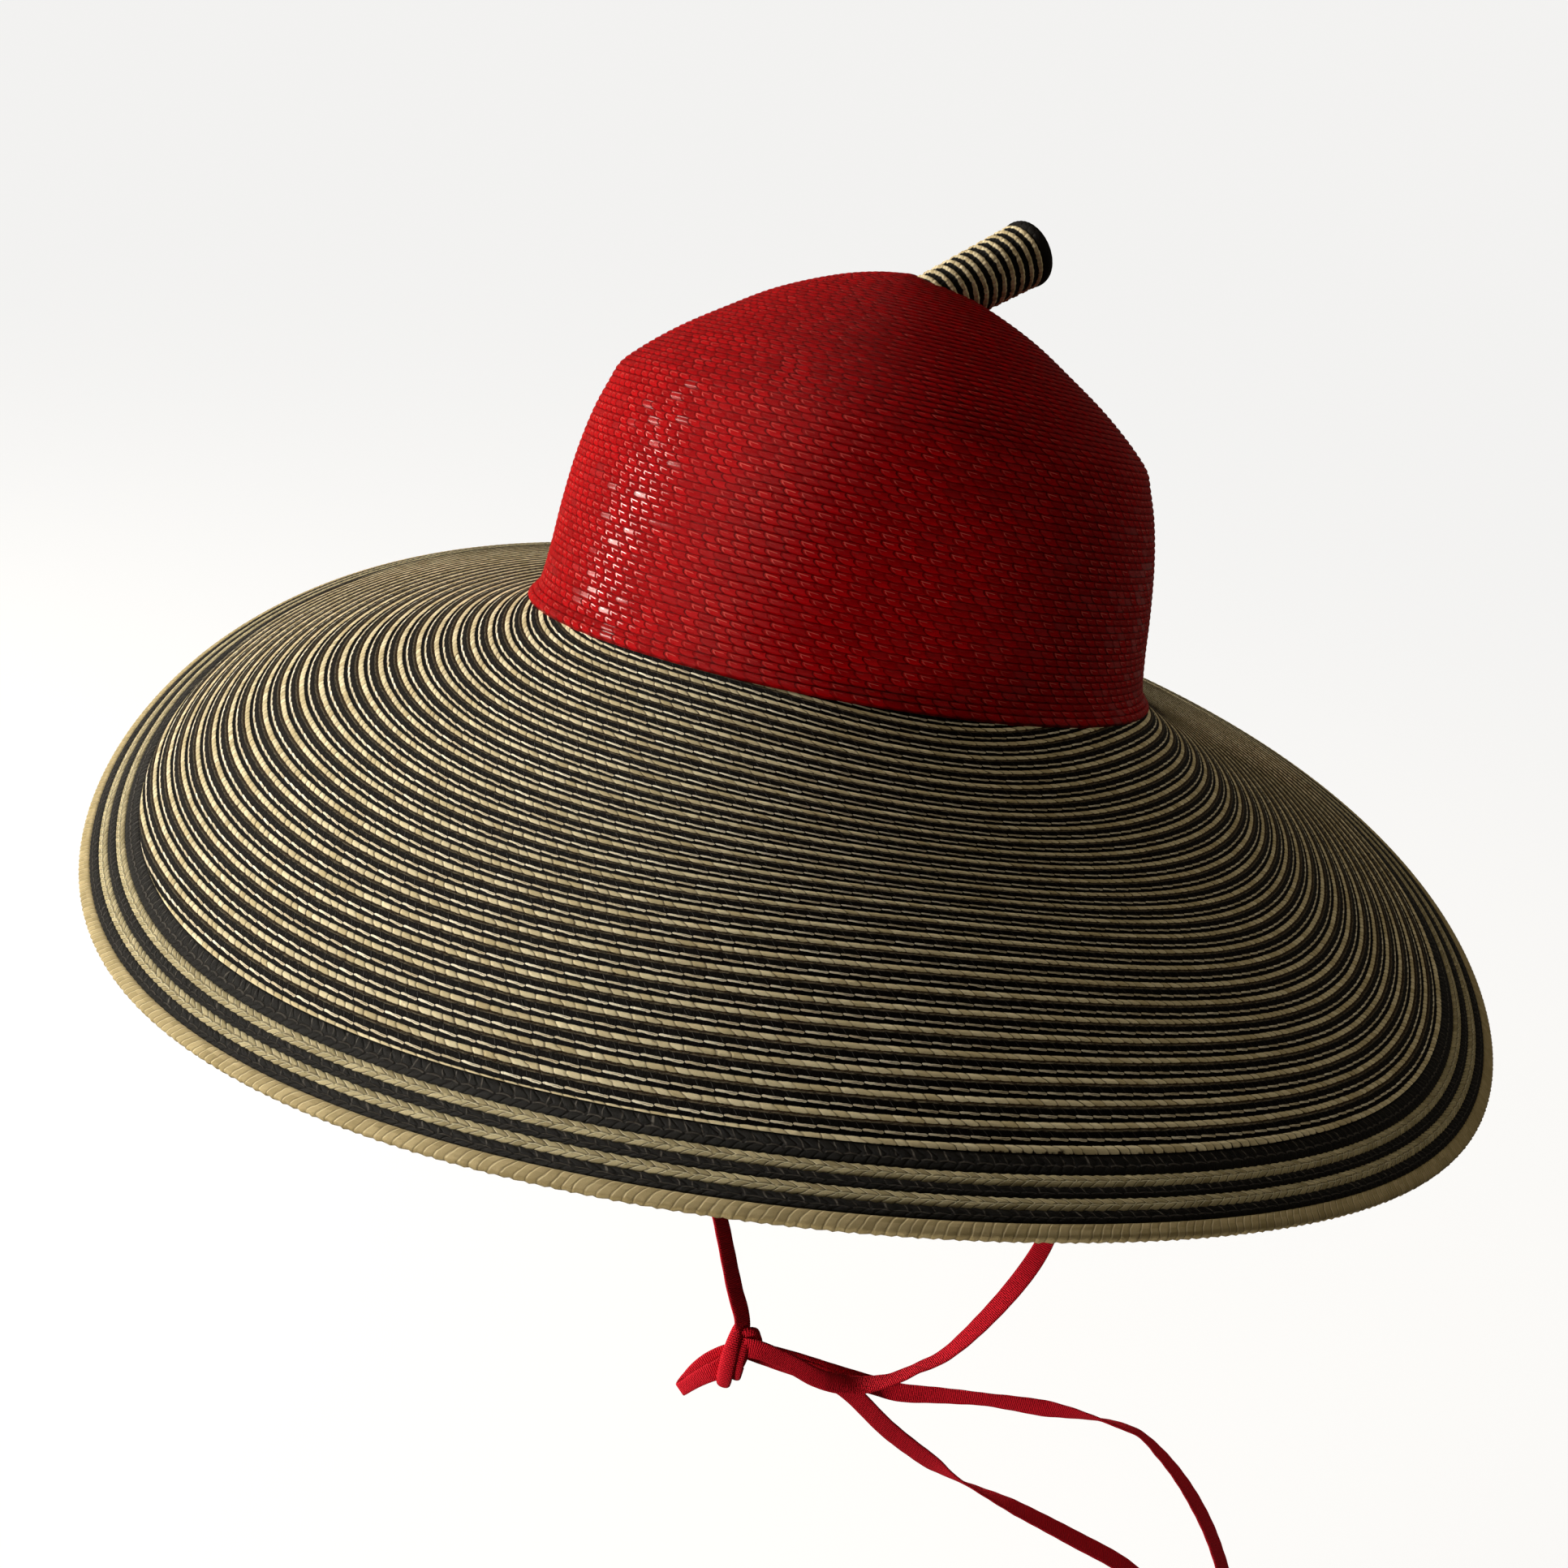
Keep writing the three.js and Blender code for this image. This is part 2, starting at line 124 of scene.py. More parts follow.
def surface(name, around, rings, place, weave):
    """A grid bent into a closed skin. place(u, ring) gives the points, in millimetres, for a share
    u of the way round and a ring number; weave(u, ring, middle) gives the place in the plait, where
    middle is the ring number at the middle of the face."""
    sheet = bmesh.new()
    sheet.loops.layers.uv.new("weave")
    bmesh.ops.create_grid(sheet, x_segments=around, y_segments=rings, size=0.5)
    mesh = bpy.data.meshes.new(name)
    sheet.to_mesh(mesh)
    sheet.free()
    flat = np.empty(len(mesh.vertices) * 3)
    mesh.vertices.foreach_get("co", flat)
    u, v = flat[0::3] + 0.5, np.rint((flat[1::3] + 0.5) * rings)
    corner = np.empty(len(mesh.loops), int)
    mesh.loops.foreach_get("vertex_index", corner)
    middle = v[corner].reshape(-1, 4).mean(axis=1).repeat(4)
    pattern = np.stack(weave(u[corner], v[corner], middle), axis=1)
    mesh.uv_layers["weave"].data.foreach_set("uv", pattern.ravel())
    points = np.stack(place(u, v), axis=1) * MM
    mesh.vertices.foreach_set("co", points.ravel())
    sheet = bmesh.new()
    sheet.from_mesh(mesh)
    bmesh.ops.remove_doubles(sheet, verts=sheet.verts, dist=2e-6)
    bmesh.ops.recalc_face_normals(sheet, faces=sheet.faces)
    for face in sheet.faces:
        face.smooth = True
    sheet.to_mesh(mesh)
    sheet.free()
    piece = bpy.data.objects.new(name, mesh)
    bpy.context.scene.collection.objects.link(piece)
    return piece


class Value:
    """One value in a finish. Sums of values add the nodes that work them out."""

    def __init__(self, finish, socket):
        self.finish = finish
        self.socket = socket

    def maths(self, operation, *values):
        return self.finish.node("ShaderNodeMath", {"operation": operation}, dict(enumerate(values)))

    def __add__(self, other):
        return self.maths("ADD", self, other)

    def __radd__(self, other):
        return self.maths("ADD", other, self)

    def __sub__(self, other):
        return self.maths("SUBTRACT", self, other)

    def __rsub__(self, other):
        return self.maths("SUBTRACT", other, self)

    def __mul__(self, other):
        return self.maths("MULTIPLY", self, other)

    def __rmul__(self, other):
        return self.maths("MULTIPLY", other, self)

    def __truediv__(self, other):
        return self.maths("DIVIDE", self, other)

    def __pow__(self, other):
        return self.maths("POWER", self, other)

    def __abs__(self):
        return self.maths("ABSOLUTE", self)

    def floor(self):
        return self.maths("FLOOR", self)

    def part(self):
        return self.maths("FRACT", self)

    def wave(self):
        return self.maths("SINE", self * (2 * math.pi))

    def most(self, other):
        return self.maths("MAXIMUM", self, other)

    def step(self, low, high):
        """Rises smoothly from 0 at low to 1 at high, or falls where low is above high."""
        return self.finish.node(
            "ShaderNodeMapRange",
            {"interpolation_type": "SMOOTHSTEP", "clamp": True},
            {"Value": self, "From Min": low, "From Max": high},
        )

    def band(self, low, high, edge):
        """1 between low and high, with soft edges."""
        return self.step(low - edge, low + edge) * self.step(high + edge, high - edge)


class Finish:
    """A material whose colour and relief follow the plait."""

    def __init__(self, name, constants):
        self.material = bpy.data.materials.new(name)
        self.material.use_nodes = True
        self.tree = self.material.node_tree
        self.shader = self.tree.nodes["Principled BSDF"]
        for socket, value in constants.items():
            self.shader.inputs[socket].default_value = value

    def node(self, kind, settings, inputs, output=0):
        made = self.tree.nodes.new(kind)
        for key, value in settings.items():
            setattr(made, key, value)
        for key, value in inputs.items():
            if isinstance(value, Value):
                self.tree.links.new(value.socket, made.inputs[key])
            else:
                made.inputs[key].default_value = value
        return Value(self, made.outputs[output])

    def weave(self):
        """The two places in the plait: along the row, and across the rows."""
        place = self.node("ShaderNodeUVMap", {"uv_map": "weave"}, {})
        return [self.node("ShaderNodeSeparateXYZ", {}, {0: place}, output) for output in (0, 1)]

    def at(self, x, y, z=0.0):
        return self.node("ShaderNodeCombineXYZ", {}, {0: x, 1: y, 2: z})

    def chance(self, x, y, z=0.0):
        """A different value from 0 to 1 for each whole x, y and z."""
        return self.node(
            "ShaderNodeTexWhiteNoise", {"noise_dimensions": "3D"}, {"Vector": self.at(x, y, z)}
        )

    def cloud(self, x, y, scale, z=0.0):
        """A cloudy value from 0 to 1 over the plait."""
        return self.node(
            "ShaderNodeTexNoise",
            {"noise_dimensions": "3D"},
            {"Vector": self.at(x, y, z), "Scale": scale, "Detail": 3.0, "Roughness": 0.6},
        )

    def drift(self, scale, z=0.0):
        """A slow change over the piece, from about -0.5 to 0.5, that doesn't repeat round it."""
        place = self.node("ShaderNodeTexCoord", {}, {}, 3)
        moved = self.node(
            "ShaderNodeVectorMath", {"operation": "ADD"}, {0: place, 1: self.at(z, 0.0, 0.0)}
        )
        noise = self.node(
            "ShaderNodeTexNoise",
            {"noise_dimensions": "3D"},
            {"Vector": moved, "Scale": scale, "Detail": 2.0, "Roughness": 0.6},
        )
        return noise - 0.5

    def mix(self, share, first, second):
        return self.node("ShaderNodeMix", {"data_type": "RGBA"}, {0: share, 6: first, 7: second}, 2)

    def shaded(self, colour, share):
        """The colour made darker or lighter by a share of its light."""
        return self.node(
            "ShaderNodeVectorMath", {"operation": "SCALE"}, {0: colour, "Scale": share}
        )

    def feed(self, socket, value):
        self.tree.links.new(value.socket, self.shader.inputs[socket])

    def relief(self, height, depth):
        """Raises the surface by height times depth, in millimetres."""
        normal = self.node(
            "ShaderNodeBump", {}, {"Strength": 1.0, "Distance": depth * MM, "Height": height}
        )
        self.feed("Normal", normal)


def wear(piece, finish, slot, *nodes):
    """Gives a piece its finish and stands it for its nodes. The slot is not used."""
    piece.data.materials.append(finish.material)
    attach(piece, "root")
    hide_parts(*nodes)


crown_line, _, crown_slants = curve_through(CROWN_PROFILE)
tip_slant = crown_slants[-1]
crown_row_pitch = (tip_slant - FOOT_SLANT) / CROWN_ROWS


def crown_section(slant):
    """The crown's height and half width at a distance up its slope."""
    return [np.interp(slant, crown_slants, column) for column in crown_line.T]


crown_straws = []
for row in range(CROWN_ROWS):
    _, half = crown_section(FOOT_SLANT + (row + 0.5) * crown_row_pitch)
    crown_straws.append(max(TIP_STRAWS, round(2 * math.pi * half * CROWN_GIRTH / CROWN_STRAW)))
crown_straws = np.array(crown_straws)

# The rings down the inside, from the tip to the foot, and then up the outside: slant, lift, row
crown_rings = [(tip_slant, -WALL, CROWN_ROWS - 0.5)]
for row in reversed(range(CROWN_ROWS)):
    slant = FOOT_SLANT + (row + 0.5) * crown_row_pitch
    crown_rings.append((slant, -WALL + INSIDE_RELIEF, row + 0.5))
crown_rings += CROWN_EDGE
for row in range(CROWN_ROWS):
    lip = CROWN_LIP * max(0, 1 - row / CROWN_LIP_ROWS)
    for share, rise in CROWN_ROW_RISE:
        slant = FOOT_SLANT + (row + share) * crown_row_pitch
        crown_rings.append((slant, lip + rise, row + share))
crown_rings.append((tip_slant, 0.1, CROWN_ROWS - 0.01))
crown_rings = np.array(crown_rings)


def crown_point(angle, slant, lift, step=0.8):
    """A point of the crown's outside, from how far up its slope it is and how far it stands off."""
    height, half = crown_section(slant)
    lower, wider = crown_section(slant - step)
    higher, narrower = crown_section(slant + step)
    rise, run = higher - lower, wider - narrower
    size = np.hypot(rise, run)
    out = np.where(half < 0.01, 0, lift * rise / size)
    oval = CROWN_OVAL + (1 - CROWN_OVAL) * (np.maximum(height, 0) / CROWN_HEIGHT) ** 1.5
    x = TIP_SHIFT * height / CROWN_HEIGHT + (half + out) * np.cos(angle)
    y = (half * oval + out) * np.sin(angle)
    return crown_turn @ np.stack([x, y, height + lift * run / size])


def crown_place(u, ring):
    slant, lift, _ = crown_rings[ring.astype(int)].T
    return crown_point(2 * math.pi * u, slant, lift)


def crown_weave(u, ring, middle):
    across = crown_rings[ring.astype(int)][:, 2]
    low, high = (crown_rings[whole(middle).astype(int), 2] for whole in (np.floor, np.ceil))
    row = np.clip(np.floor((low + high) / 2), 0, CROWN_ROWS - 1)
    straws = crown_straws[row.astype(int)]
    return u * straws + 0.5 * row, row + np.clip(across - row, ROW_INSET, 1 - ROW_INSET)


crown = surface("crown_plait", CROWN_AROUND, len(crown_rings) - 1, crown_place, crown_weave)

lacquer = Finish("lacquered_red_straw", {
    "IOR": 1.5, "Specular IOR Level": 0.05, "Coat IOR": 1.5, "Coat Roughness": 0.22,
})
along, across = lacquer.weave()
row, up = across.floor(), across.part()
wander = (lacquer.chance(row, 4.0) + lacquer.drift(90.0, row * 0.31)) * 0.5
lean = along + wander + up * 0.38 + (up * 0.5).wave() * 0.2
single, place = lean.floor(), lean.part()
tone = lacquer.chance(single, row, 3.0)
shine = lacquer.chance(single, row, 8.0)
fibre = lacquer.cloud(along * 0.7, across * 9.0, 6.0)
patch = lacquer.drift(25.0) + 0.5
slit = place.step(0.17, 0.05).most(place.step(0.96, 1.0)) * (0.2 + tone * 0.8)
side = place.band(0.2, 0.27, 0.04) * up.band(0.3, 0.7, 0.1) * shine
top = abs(up - 0.74 + (place - 0.4) * 0.22).step(0.085, 0.03)
top = top * place.band(0.14, 0.5 + shine * 0.35, 0.06) * (0.3 + tone * 0.7)
edge = side.most(top)
bulge = up - (place * 2 - 1) ** 2.0 * 0.14 + (fibre - 0.5) * 0.08
seam = bulge.step(0.1, -0.04).most(up.step(0.9, 1.0))
red = lacquer.mix(fibre * 0.45 + tone * 0.3 + patch * 0.35, RED_DEEP, RED_BRIGHT)
# Painted shade: the slits between straws and the seam under each row's lip are darkened nearly to
# black
red = lacquer.mix(slit.most(seam * 0.8) * 0.85, red, RED_SLIT_SHADE)
# Painted highlight: thin lighter strokes along the straws' edges, strongest on the shiny straws
red = lacquer.mix(edge * (0.1 + shine * 0.65), red, RED_GLINT)
lacquer.feed("Base Color", red)
lacquer.feed("Roughness", 0.34 + tone * 0.1 + fibre * 0.1)
# The lacquer is worn dull toward the tip
gloss = across.step(CROWN_ROWS * 0.62, CROWN_ROWS * 0.22) * 0.85 + 0.15
lacquer.feed("Coat Weight", (edge * 0.97 + shine.step(0.16, 0.06) * 0.4) * (1 - slit) * gloss)
tilt = (tone - 0.5) * place * 0.3 + (shine - 0.5) * up * 0.4
rise = (place * 1.2) ** 0.5 * 0.3 + tilt + edge * 0.5 + fibre * 0.45
lacquer.relief(rise - slit * 0.4 - seam * 0.4, 0.5)
wear(crown, lacquer, "red_straw", "crown")


# Brim. One plait of natural and black straw, sewn flat and round from the crown outward, each row
# under the next one in. The rows aren't quite even: they gather at the front of the crown and run out
# under the edge on the wearer's right.
BRIM_WIDTH = 141.2
BRIM_SLOPES = [  # degrees at the crown and at the rim, every eighth of the way round from +X
    (35, 24), (29.5, 23.5), (15.5, 17.5), (8, 16), (13, 24), (29, 39), (31.5, 33.5), (28.5, 20.5),
]
BRIM_GAP = 0.3  # between the crown's foot and the brim
FIELD_START, FIELD_END = 0.05, 121.45  # distances from the crown
ROW_STEP = 5
# Distance from the crown of every fifth row from the edge inward, every twelfth of the way round
ROW_PLACES = [
    (120.3, 120.3, 120.3, 120.3, 120.4, 121.5, 125, 131, 123.5, 121.2, 120.7, 120.1),
    (95.3, 95.3, 95.0, 94.8, 95.0, 97, 103, 108.4, 99.8, 95.8, 92.9, 92.5),
    (69.4, 69.6, 69.5, 69.2, 69.3, 71.5, 76.5, 81.6, 72.1, 70.8, 67.4, 67.5),
    (46.2, 45.0, 44.2, 43.8, 43.8, 44.5, 46, 46.4, 45.2, 47.6, 47.5, 47.6),
    (23.0, 20.5, 19.0, 18.4, 18.3, 17.5, 15, 11.9, 19.6, 25.9, 27.7, 28.4),
    (-0.5, -4, -6, -7, -7.2, -9, -15, -22, -6, 3.0, 5.6, 6.6),
    (-24, -28.5, -31, -32, -32.5, -35, -45, -56, -31, -20, -16.5, -15),
]
FIELD_ROWS = 28
FIELD_AROUND = 290
FIELD_PITCH = 5  # mean width of one row
FOOT_REACH = 93  # mean distance of the crown's foot from its middle
FIELD_REACH = 121
STITCH = 4.8  # length of one thin dash
# Across one row, inward from the groove outside its thin line: share of the row, and how proud
FIELD_ROW_RISE = [
    (0.0, -0.42), (0.085, 0.0), (0.15, 0.12), (0.24, 0.08), (0.38, 0.32), (0.5, 0.32), (0.6, 0.0),
    (0.66, 0.06), (0.74, 0.16), (0.87, 0.0),
]
GROOVE = 0.2  # how far inward of a row's cord the groove is
FIELD_OUTER = 0.83  # the row number where the field ends under the black band
FIELD_FADE = 0.9  # over this distance the rows grow flat at both ends of the field

DASH_LINE, DASH_HALF = 0.14, 0.058  # shares of a row: where the thin line lies, half of its width
CORD_LINE, CORD_HALF = 0.755, 0.14  # the same for the cord
BLACK_DEEP, BLACK_WORN = (0.002, 0.0014, 0.001, 1), (0.014, 0.010, 0.007, 1)
# Painted highlight: grey glints on the black straw
GLINT_GREY = (0.11, 0.105, 0.10, 1)
FUZZ_TAN = (0.26, 0.22, 0.15, 1)
HATCH_BROWN = (0.09, 0.05, 0.02, 1)
DASH_CREAM, DASH_WHITE = (0.58, 0.50, 0.34, 1), (0.98, 0.93, 0.76, 1)
DASH_SPLIT = (0.08, 0.05, 0.025, 1)
STRAW_TAN, STRAW_PALE = (0.56, 0.47, 0.27, 1), (0.86, 0.77, 0.52, 1)
STRAW_BROWN = (0.38, 0.28, 0.14, 1)
# Painted shade for the creases of the cord
CREASE_SHADE = (0.05, 0.032, 0.014, 1)
# Painted shade for the grooves between rows
GROOVE_SHADE = (0.003, 0.002, 0.002, 1)


def round_the_hat(values, angle):
    """A smooth value round the hat through evenly spaced ones."""
    count = len(values)
    total = 0
    for i, value in enumerate(values):
        apart = angle - 2 * math.pi * i / count
        weight = 1 + sum(2 * np.cos(wave * apart) for wave in range(1, (count + 1) // 2))
        total = total + value * weight / count
    return total


def brim_point(angle, distance, depth):
    """A point of the brim at a distance from the crown, sunk below its upper side by a depth."""
    half, deep = CROWN_HALF_WIDTH + BRIM_GAP, CROWN_HALF_WIDTH * CROWN_OVAL + BRIM_GAP
    foot = crown_turn @ np.stack([half * np.cos(angle), deep * np.sin(angle), 0 * angle])
    out = np.stack([np.cos(angle) / half, np.sin(angle) / deep])
    out = out / np.hypot(*out)
    at_crown = np.radians(round_the_hat([row[0] for row in BRIM_SLOPES], angle))
    bend = np.radians(round_the_hat([row[1] for row in BRIM_SLOPES], angle)) - at_crown
    slope = at_crown + bend * distance / BRIM_WIDTH
    radius = BRIM_WIDTH / np.where(np.abs(bend) < 1e-4, 1e-4, bend)
    reach = radius * (np.sin(slope) - np.sin(at_crown)) - depth * np.sin(slope)
    reach = np.maximum(reach, 0.25 * depth)  # keeps the under side clear of the crown
    drop = radius * (np.cos(at_crown) - np.cos(slope)) + depth * np.cos(slope)
    return foot + np.stack([out[0] * reach, out[1] * reach, -drop])


def row_distance(row, angle):
    """How far from the crown a row of the field lies, for the row's number from the edge inward."""
    count = len(ROW_PLACES)
    place = (row - 1) / ROW_STEP
    first = np.clip(np.floor(place), 0, count - 2).astype(int)
    share = place - first
    given = np.stack([round_the_hat(values, angle) for values in ROW_PLACES])
    a, b, c, d = (
        np.take_along_axis(given, np.clip(first + i, 0, count - 1)[None], axis=0)[0]
        for i in (-1, 0, 1, 2)
    )
    leave = np.where(first > 0, (c - a) / 2, c - b)
    meet = np.where(first < count - 2, (d - b) / 2, c - b)
    bend = -3 * b + 3 * c - 2 * leave - meet
    return b + leave * share + bend * share**2 + (2 * b - 2 * c + leave + meet) * share**3


# The rings inward over the top and back outward beneath: row number, and how proud or how deep
field_rings = [(FIELD_OUTER, 0.0), (0.86, 0.12), (0.94, 0.28), (1.07, 0.0)]
for row in range(1, FIELD_ROWS):
    field_rings += [(row + GROOVE + share, rise) for share, rise in FIELD_ROW_RISE]
field_rings.append((FIELD_ROWS + GROOVE, 0))
field_top = len(field_rings)
for row in reversed(range(1, FIELD_ROWS)):
    field_rings += [(row + GROOVE + 0.95, WALL - 0.25), (row + GROOVE + 0.5, WALL)]
field_rings += [(FIELD_OUTER, WALL - 0.2), field_rings[0]]
field_rings = np.array(field_rings)


def field_place(u, ring):
    row, rise = field_rings[ring.astype(int)].T
    angle = 2 * math.pi * u
    distance = np.where(row < FIELD_OUTER + 0.01, FIELD_END, row_distance(row, angle))
    top = (ring < field_top) | (ring == len(field_rings) - 1)
    outer, inner = (FIELD_END - distance) / FIELD_FADE, (distance - 0.2) / FIELD_FADE
    depth = np.where(top, -rise * (np.clip(outer, 0, 1) * np.clip(inner, 0, 1)), rise)
    return brim_point(angle, np.clip(distance, FIELD_START, FIELD_END), depth)


def field_weave(u, ring, middle):
    row = field_rings[ring.astype(int)][:, 0] - GROOVE
    low, high = (field_rings[whole(middle).astype(int), 0] for whole in (np.floor, np.ceil))
    number = np.floor((low + high) / 2 - GROOVE)
    reach = FOOT_REACH + np.clip(FIELD_REACH - FIELD_PITCH * number, 0, FIELD_REACH)
    stitches = np.rint(2 * math.pi * reach / STITCH)
    share = np.clip(row - number, ROW_INSET, 1 - ROW_INSET)
    share = np.where(middle > len(field_rings) - 2, 0, share)
    return u * stitches + 0.37 * number, number + share


field = surface("brim_field_plait", FIELD_AROUND, len(field_rings) - 1, field_place, field_weave)

straw = Finish("two_tone_straw", {"IOR": 1.46, "Specular IOR Level": 0.05})
along, across = straw.weave()
row, share = across.floor(), across.part()
drift = straw.drift(90.0, row * 0.37) * 0.12
ragged = straw.drift(900.0) * 0.06
share = share + ragged + drift * 0.5
thread = straw.cloud(along * 2.2, across * 30.0, 3.0)
fibre = straw.cloud(along * 16.0, across * 5.0, 4.0)
worn = straw.drift(60.0, row * 0.91) + 0.5

hatch = share.band(0.53, 0.64, 0.02)
fuzz = share.band(0.45, 0.53, 0.02) * straw.cloud(along * 1.3, across * 12.0, 2.0).step(0.4, 0.6)
black = straw.mix(thread.step(0.5, 0.8), BLACK_DEEP, BLACK_WORN)
# Painted highlight: thin grey slanting glint lines on the wide black strand
glint_line = (along * 1.5 + (share - 0.32) * 1.3 + drift * 4.0).part().band(0.45, 0.5, 0.02)
colour = straw.mix(glint_line * share.band(0.24, 0.42, 0.02) * thread, black, GLINT_GREY)
colour = straw.mix(fuzz * (0.1 + fibre), colour, FUZZ_TAN)
colour = straw.mix(hatch * thread.step(0.45, 0.6), colour, HATCH_BROWN)

# The thin line: a light dash for each stitch, pointed at both ends
dash_at = along + 0.5 + drift * 2.0
dash_number, dash_place = dash_at.floor(), dash_at.part()
dash_tone = straw.chance(dash_number, row, 5.0)
dash_off = share - DASH_LINE + (dash_place - 0.5) * 0.045
point = 1 - abs(dash_place * 2 - 1) ** 16.0
dash = (abs(dash_off) - point * DASH_HALF).step(0.0, -0.016)
bright = straw.mix(dash_tone * (1 - dash_place * 0.5), DASH_CREAM, DASH_WHITE)
split = abs(dash_off - 0.005).step(0.016, 0.006) * dash_place.band(0.5, 0.95, 0.1)
bright = straw.mix(split * 0.75, bright, DASH_SPLIT)
colour = straw.mix(dash, colour, bright)

# The cord: natural straw in slanting turns, with painted shade in the crease between them
turn_at = along * 1.5 + (share - CORD_LINE) * 1.5 + straw.drift(200.0, row * 0.77) * 1.2
turn_number, turns = turn_at.floor(), turn_at.part()
turn_tone = straw.chance(turn_number, row, 1.0)
pinch = (turns * 2 - 1) ** 4.0 * 0.03
cord = (abs(share - CORD_LINE) + (fibre - 0.5) * 0.04 + pinch).step(CORD_HALF, CORD_HALF - 0.02)
sharp = straw.chance(turn_number, row, 2.0)
crease = turns.step(0.14, 0.02).most(turns.step(0.94, 1.0)) * (0.3 + sharp * sharp * 0.8)
natural = straw.mix(turn_tone, STRAW_TAN, STRAW_PALE)
natural = straw.mix(thread.step(0.5, 0.3) * 0.3, natural, STRAW_BROWN)
# Painted shade darkens the creases between the turns
natural = straw.mix(crease * 0.9, natural, CREASE_SHADE)
natural = straw.shaded(natural, 0.8 + worn * 0.4)
colour = straw.mix(cord, colour, natural)
# Painted shade: the groove between rows is darkened nearly to black
groove = share.step(0.045, 0.0).most(share.step(0.965, 1.0))
straw.feed("Base Color", straw.mix(groove, colour, GROOVE_SHADE))
straw.feed("Roughness", 0.38 + fibre * 0.15 - dash * 0.1 + cord * 0.1)
bead = (1 - abs(turns * 2 - 1) ** 4.0) * cord
glint = straw.cloud(along * 9.0, across * 7.0, 1.0)
rise = bead * 0.6 + dash * (0.2 + 0.2 * point) + thread * 0.3
straw.relief(rise + (1 - cord) * (1 - dash) * glint * 0.7 - crease * 0.2, 0.5)
wear(field, straw, "two_tone_straw", "brim_field")


# Edge. Six plain rows finish the brim: a broad black one, then natural and black by turns, each a
# flat plait held by a line of stitches, and last a natural row whose straws are whipped over the rim.
EDGE_ROWS = [
    ("black_band", 4.9, "black"), ("natural_row_inner", 2.8, "natural"),
    ("black_row_inner", 2.7, "black"), ("natural_row_outer", 2.8, "natural"),
    ("black_row_outer", 3.0, "black"), ("natural_rim_row", 3.6, "rim"),
]
EDGE_STITCH = 4.2
EDGE_TURNS = 1.5  # turns of the straw for each stitch
EDGE_SHIFT = 0.43  # share of a stitch by which each row is set on from the row before it
EDGE_AROUND = 1320
EDGE_PERIMETER = 1390
EDGE_TUCK = 0.14  # how far a row reaches under the one before it
EDGE_LAP = 0.1  # how far it reaches past its own width
RIM_BACK = -0.05  # how far short of it the last row stops
EDGE_SUNK = 0.12  # how far the rows lie below the brim's upper side
edge_stitches = 2 * round(EDGE_PERIMETER / EDGE_STITCH / 2)
# Round the section of a row: share of its width, and share of its thickness below the top
EDGE_SECTION = [
    (0.0, 0.4), (0.02, 0.16), (0.1, 0.0), (0.3, -0.07), (0.5, -0.03), (0.7, -0.08), (0.9, 0.0),
    (0.98, 0.16), (1.0, 0.4), (0.97, 0.85), (0.5, 1.0), (0.03, 0.85), (0.0, 0.4),
]


def darker(colour, share):
    return tuple(part * share for part in colour[:3]) + (1,)


def edge_finish(name, look, dark, light, line):
    """Plaited straw between a dark and a light colour, with its stitches in the colour of the line."""
    finish = Finish(name, {"IOR": 1.46, "Specular IOR Level": 0.14})
    along, across = finish.weave()
    drift = finish.drift(120.0) * 0.5
    stitch, place = (along + drift).floor(), (along + drift).part()
    fibre = finish.cloud(along * 3.0, across * 9.0, 5.0)
    cross = finish.cloud(along * 14.0, across * 1.5, 4.0)
    worn = finish.drift(40.0) + 0.5
    if look == "rim":
        lean = along * 1.75 + drift * 2.0 + across ** 0.5 * 1.3
    else:
        lean = along * 1.5 + drift * 2.0 + (cross - 0.5) * 0.16 + abs(across - 0.45) * 1.9
    turn = lean.part()
    half = across.step(0.44, 0.46) * 4.0
    tone = finish.chance(lean.floor(), half)
    colour = finish.mix(tone * 0.7 + cross * 0.2 + worn * 0.15, dark, light)
    colour = finish.mix(fibre.step(0.5, 0.3) * 0.4, colour, darker(dark, 0.55))
    # Painted highlight: a lighter line along each turn's edge, beside the crease
    lit = turn.band(0.1, 0.2, 0.04) * across.band(0.1, 0.94, 0.05)
    crease = turn.step(0.12, 0.02).most(turn.step(0.93, 1.0)) * (0.5 if look == "rim" else 1.0)
    if look == "black":
        strand = (along * 1.2 - across * 0.5 + drift * 3.0 + (fibre - 0.5) * 0.08).part()
        # On the black rows the mask draws thin grey slanting strokes instead
        lit = strand.band(0.44, 0.53, 0.02) * across.band(0.12, 0.56, 0.04)
        lit = lit * (0.4 + finish.chance(stitch, 3.0))
    colour = finish.mix(lit * 0.75, colour, line)
    # Painted shade darkens the creases between the turns
    colour = finish.mix(crease * 0.9, colour, darker(dark, 0.15))
    height = (1 - abs(turn * 2 - 1) ** 4.0) * 0.35 + fibre * 0.35 + cross * 0.3
    rough = 0.42 + 0.15 * fibre
    if look != "rim":
        bow = across - 0.64 + 0.1 * (1 - (place * 2 - 1) ** 2.0) - 0.05 * place
        held = abs(bow).step(0.06, 0.025) * place.band(0.06, 0.9, 0.05)
        # Painted shadow: a darker strip just below each line of stitches
        under = (bow + 0.11).band(-0.05, 0.05, 0.03) * place.band(0.06, 0.9, 0.05)
        colour = finish.mix(under * 0.6, colour, darker(dark, 0.3))
        thread = finish.mix(finish.chance(stitch, 7.0) * 0.5, line, colour)
        colour = finish.mix(held * (0.5 if look == "black" else 0.9), colour, thread)
        height = height + held * 0.6
        rough = rough - 0.12 * held
    finish.feed("Base Color", colour)
    finish.feed("Roughness", rough)
    finish.relief(height, 0.6 if look == "black" else 0.85)
    return finish


